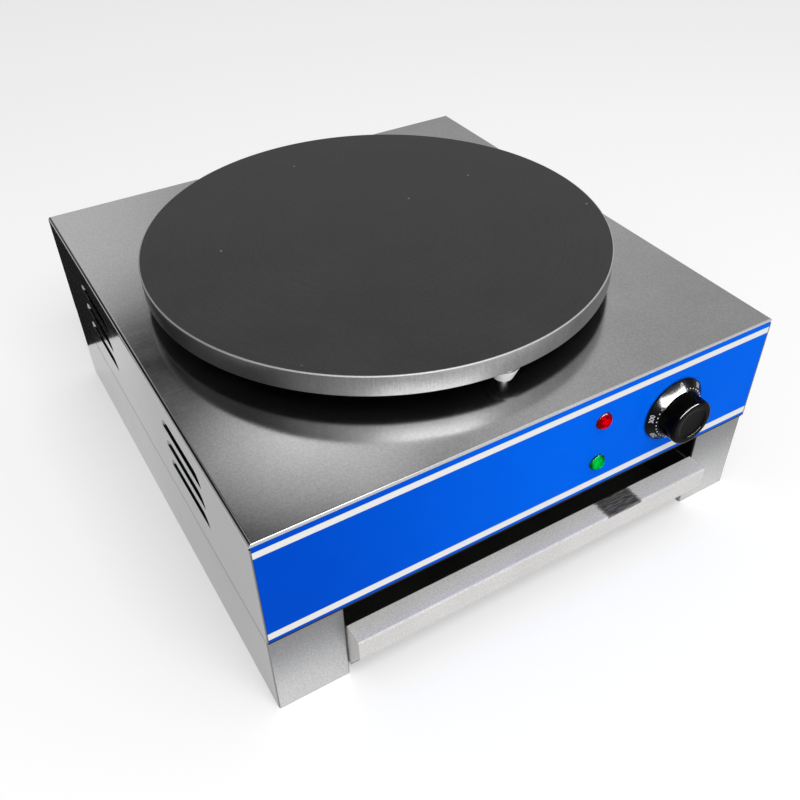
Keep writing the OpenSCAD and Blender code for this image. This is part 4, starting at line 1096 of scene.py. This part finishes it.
def number(text, angle):
    """One number, wrapped on the cone at an angle in degrees, top outwards."""
    curve = bpy.data.curves.new("number", "FONT")
    curve.body = text
    curve.size = NUMBER_SIZE
    curve.align_x = "CENTER"
    curve.align_y = "CENTER"
    curve.extrude = NUMBER_LIFT / 2
    word = new_object("number", curve)
    shown = word.evaluated_get(bpy.context.evaluated_depsgraph_get())
    mesh = bpy.data.meshes.new_from_object(shown)
    bpy.data.objects.remove(word)
    slope = math.atan2(SKIRT_H - RIM_STEP, SKIRT_R - CONE_IN)
    for vertex in mesh.vertices:
        radius = NUMBER_R + vertex.co.y * math.cos(slope)
        turn = math.radians(angle) - vertex.co.x / NUMBER_R
        height = cone_at(radius) + vertex.co.z + NUMBER_LIFT / 2
        vertex.co = (radius * math.cos(turn), radius * math.sin(turn), height)
    piece = new_object("dial_number_" + text, mesh)
    mesh.materials.append(DIAL_INK)
    return piece


words = [number(text, SCALE_FIRST - k * SCALE_STEP) for k, text in enumerate(SCALE)]
numbers = join(words, "dial_numbers")
facing_front(numbers.data, SKIRT_BACK)
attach(numbers, "control_knob")
print("numbers:", SCALE)

# %% [markdown]
# ## Pilot lamp lenses
# Each lens is a round moulding with a low, darker bezel and a dome cut into flat facets, which
# is why it glints from any side. A spun mesh with few sides and flat shading gives facets. Both
# profiles are worked out from the solid lens's radius and height.

# %% Faceted lenses
LENS_R = half_width("red_lamp_lens")
LENS_H = FRONT_Y - low("red_lamp_lens").y
DOME = [(0, 0), (0.80, 0), (0.80, 0.35), (0.72, 0.72), (0.46, 0.95), (0, 1)]
DOME_SIDES = 14
BEZEL_IN = LENS_R * 0.78
BEZEL_H = LENS_H * 0.16
BEZEL_ROUND = 0.6 * MM
BEZEL_SIDES = 64


def lens(node, finish, bezel_finish):
    centre = middle(node)
    dome = [(LENS_R * out, LENS_H * up) for out, up in DOME]
    cut = spun("dome", dome, sides=DOME_SIDES, flat=True)
    cut.data.materials.append(finish)
    ring = [(BEZEL_IN, 0), (LENS_R, 0), (LENS_R, BEZEL_H)]
    ring += arc((LENS_R - BEZEL_ROUND, BEZEL_H), BEZEL_ROUND, 0, 90, 4)
    ring += [(LENS_R * 0.82, LENS_H * 0.2), (BEZEL_IN, 0)]
    bezel = spun("bezel", ring, sides=BEZEL_SIDES)
    bezel.data.materials.append(bezel_finish)
    keep_creases(bezel)
    piece = join([cut, bezel], node + "_faceted")
    piece.data.transform(Matrix.Translation((centre.x, FRONT_Y, centre.z))
                         @ Matrix.Rotation(math.radians(90), 4, "X"))
    adopt(piece, node)


lens("red_lamp_lens", RED_LENS, RED_BEZEL)
lens("green_lamp_lens", GREEN_LENS, GREEN_BEZEL)
print("lens radius", round(LENS_R, 4))

# %% [markdown]
# ## Floor
# The machine stands on a plain white sheet, as in a simple studio. To the lamps it is pale grey
# paper, which doesn't glare back, and a little glow is added for what the camera and the metal
# see of it. That makes it white without one more lamp, and the soft shadow stays.

# %% Floor
FLOOR_GLOW = 0.27
FLOOR_HALF = 6
FLOOR_Z = -0.3 * MM


def to_eye(wire):
    """1 for rays that come from the camera, or that metal and glass send out."""
    path = wire.node("ShaderNodeLightPath", out="Is Camera Ray")
    return path.math("MAXIMUM", path.twin("Is Glossy Ray")).math(
        "MAXIMUM", path.twin("Is Transmission Ray"))


def floor_finish():
    material, at = start("studio_floor")
    glow = to_eye(at).blend(BLACK, grey(FLOOR_GLOW))
    return close(material, at, Base_Color=grey(0.88), Roughness=0.9, Specular_IOR_Level=0.0,
                 Emission_Strength=1.0, Emission_Color=glow)


def sheet_on_floor(name, low_corner, high_corner, z, finish):
    (x0, y0), (x1, y1) = low_corner, high_corner
    mesh = bpy.data.meshes.new(name)
    mesh.from_pydata([(x0, y0, z), (x1, y0, z), (x1, y1, z), (x0, y1, z)], [],
                     [(0, 1, 2, 3)])
    mesh.materials.append(finish)
    piece = new_object(name, mesh)
    return piece


sheet_on_floor("floor", (-FLOOR_HALF, -FLOOR_HALF), (FLOOR_HALF, FLOOR_HALF), FLOOR_Z,
               floor_finish())
print("floor glow", FLOOR_GLOW)

# %% [markdown]
# ## What the metal sees
# Polished metal has hardly a look of its own: it shows the room. A room that is white all round
# makes it look like paper, so two dark cards lie behind and beside the machine, where only
# reflections see them.

# %% Dark cards behind and beside the machine
CARD_Z = 2 * MM
CARDS = {"rear_card": ((-0.64, 0.29), (0.05, 0.95)),
         "left_card": ((-0.64, -0.05), (-0.42, 0.29))}
card_material, card_at = start("dark_card")
close(card_material, card_at, Base_Color=grey(0.025), Roughness=1.0, Specular_IOR_Level=0.0)
for name, (low_corner, high_corner) in CARDS.items():
    card = sheet_on_floor(name, low_corner, high_corner, CARD_Z, card_material)
    card.visible_camera = False
    card.visible_diffuse = False
    card.visible_shadow = False
    card.visible_transmission = False
print("cards:", list(CARDS))

# %% [markdown]
# The rest of the room is described by direction, because that is what a reflection looks up: an
# even grey with soft round patches that are brighter or darker. Metal sees the patches, the
# camera sees plain white, and the light on matt pieces comes from all sides alike.

# %% Room
ROOM_LEVEL = 0.52
ROOM_GREY = 0.55
# azimuth from +X, elevation, inner and outer radius in degrees, and how much brighter
ROOM_PATCHES = [
    (68, 42, 2, 9, 0.66),
    (61, 48, 2, 8, -0.28),
    (74, 52, 4, 11, -0.44),
    (78, 42, 1, 4, 0.24),
    (45, 36, 8, 16, 0.06),
    (57, 23, 4, 9, -0.07),
    (226, 42, 6, 24, 0.45),
    (208, 42, 6, 20, 0.35),
    (116, 24, 10, 24, -0.35),
    (78, 37, 3, 7, -0.62),
    (80, 53, 4, 13, -0.34),
    (85, 27, 3, 10, 0.28),
    (30, 33, 5, 16, -0.12),
    (168, 30, 36, 62, -0.30),
    (270, 35, 25, 70, 0.45),
    (288, 40, 12, 26, 0.60),
]


def toward(azimuth, elevation):
    """The direction at an azimuth and an elevation, as a vector of length 1."""
    a, e = math.radians(azimuth), math.radians(elevation)
    return (math.cos(a) * math.cos(e), math.sin(a) * math.cos(e), math.sin(e))


world = bpy.data.worlds.new("room")
world.use_nodes = True
world.node_tree.nodes.clear()
looking = Wire(world.node_tree).node("ShaderNodeTexCoord", out="Generated")
level = ROOM_GREY
for azimuth, elevation, inner, outer, gain in ROOM_PATCHES:
    near = looking.node("ShaderNodeVectorMath", {"operation": "DOT_PRODUCT"},
                        {0: looking, 1: toward(azimuth, elevation)}, out="Value")
    level = near.ramp(math.cos(math.radians(outer)), math.cos(math.radians(inner))) * gain \
        + level
path = looking.node("ShaderNodeLightPath", out="Is Camera Ray")
clear = path.math("MAXIMUM", path.twin("Is Transmission Ray"))
mirror = path.twin("Is Glossy Ray")
plain = (1 - clear) * (1 - mirror)
strength = clear.math("MAXIMUM", mirror * level * (1 - clear) + plain * ROOM_LEVEL)
room = looking.node("ShaderNodeBackground", inputs={"Color": grey(1.0), "Strength": strength})
room.node("ShaderNodeOutputWorld", inputs={"Surface": room})
bpy.context.scene.world = world
print("room patches:", len(ROOM_PATCHES))

# %% [markdown]
# ## Lamps
# One large soft lamp in front and above lights the whole machine. A low wide panel in front is
# there only for the glossy mouldings: it draws the thin bright arcs on the knob, the dial and
# the lamps' bezels, as a window would. Light linking keeps it off the sheet metal, where it
# would burn out folds. A small low lamp reaches under the plate's rim, and lights only the
# spacers there.

# %% Lamps
GLOSSY_PIECES = ("knob_cap", "dial_cone", "red_lamp_lens_faceted", "green_lamp_lens_faceted")


def area_lamp(name, power, size, at, aim=(0, 0, 0.1)):
    data = bpy.data.lights.new(name, "AREA")
    data.shape = "RECTANGLE"
    data.energy = power
    data.size, data.size_y = size
    lamp = bpy.data.objects.new(name, data)
    lamp.location = at
    lamp.rotation_euler = (Vector(aim) - Vector(at)).to_track_quat("-Z", "Y").to_euler()
    lamp.visible_camera = False
    bpy.context.scene.collection.objects.link(lamp)
    return lamp


def light_only(lamp, group, names):
    """Light linking: the lamp lights the named pieces and nothing else."""
    pieces = bpy.data.collections.new(group)
    for name in names:
        pieces.objects.link(bpy.data.objects[name])
    lamp.light_linking.receiver_collection = pieces


area_lamp("key", power=27, size=(1.6, 1.2), at=(-0.15, -1.5, 2.05))
window = area_lamp("window", power=2000, size=(2.0, 0.60), at=(0.45, -1.75, 0.50))
window.visible_diffuse = False
light_only(window, "glossy_mouldings", GLOSSY_PIECES)
fill = area_lamp("low_fill", power=5, size=(0.4, 0.4), at=(-0.45, -1.2, 0.36),
                 aim=(0, -0.2, 0.19))
fill.visible_glossy = False
light_only(fill, "under_the_rim", ["plate_spacers_soft"])
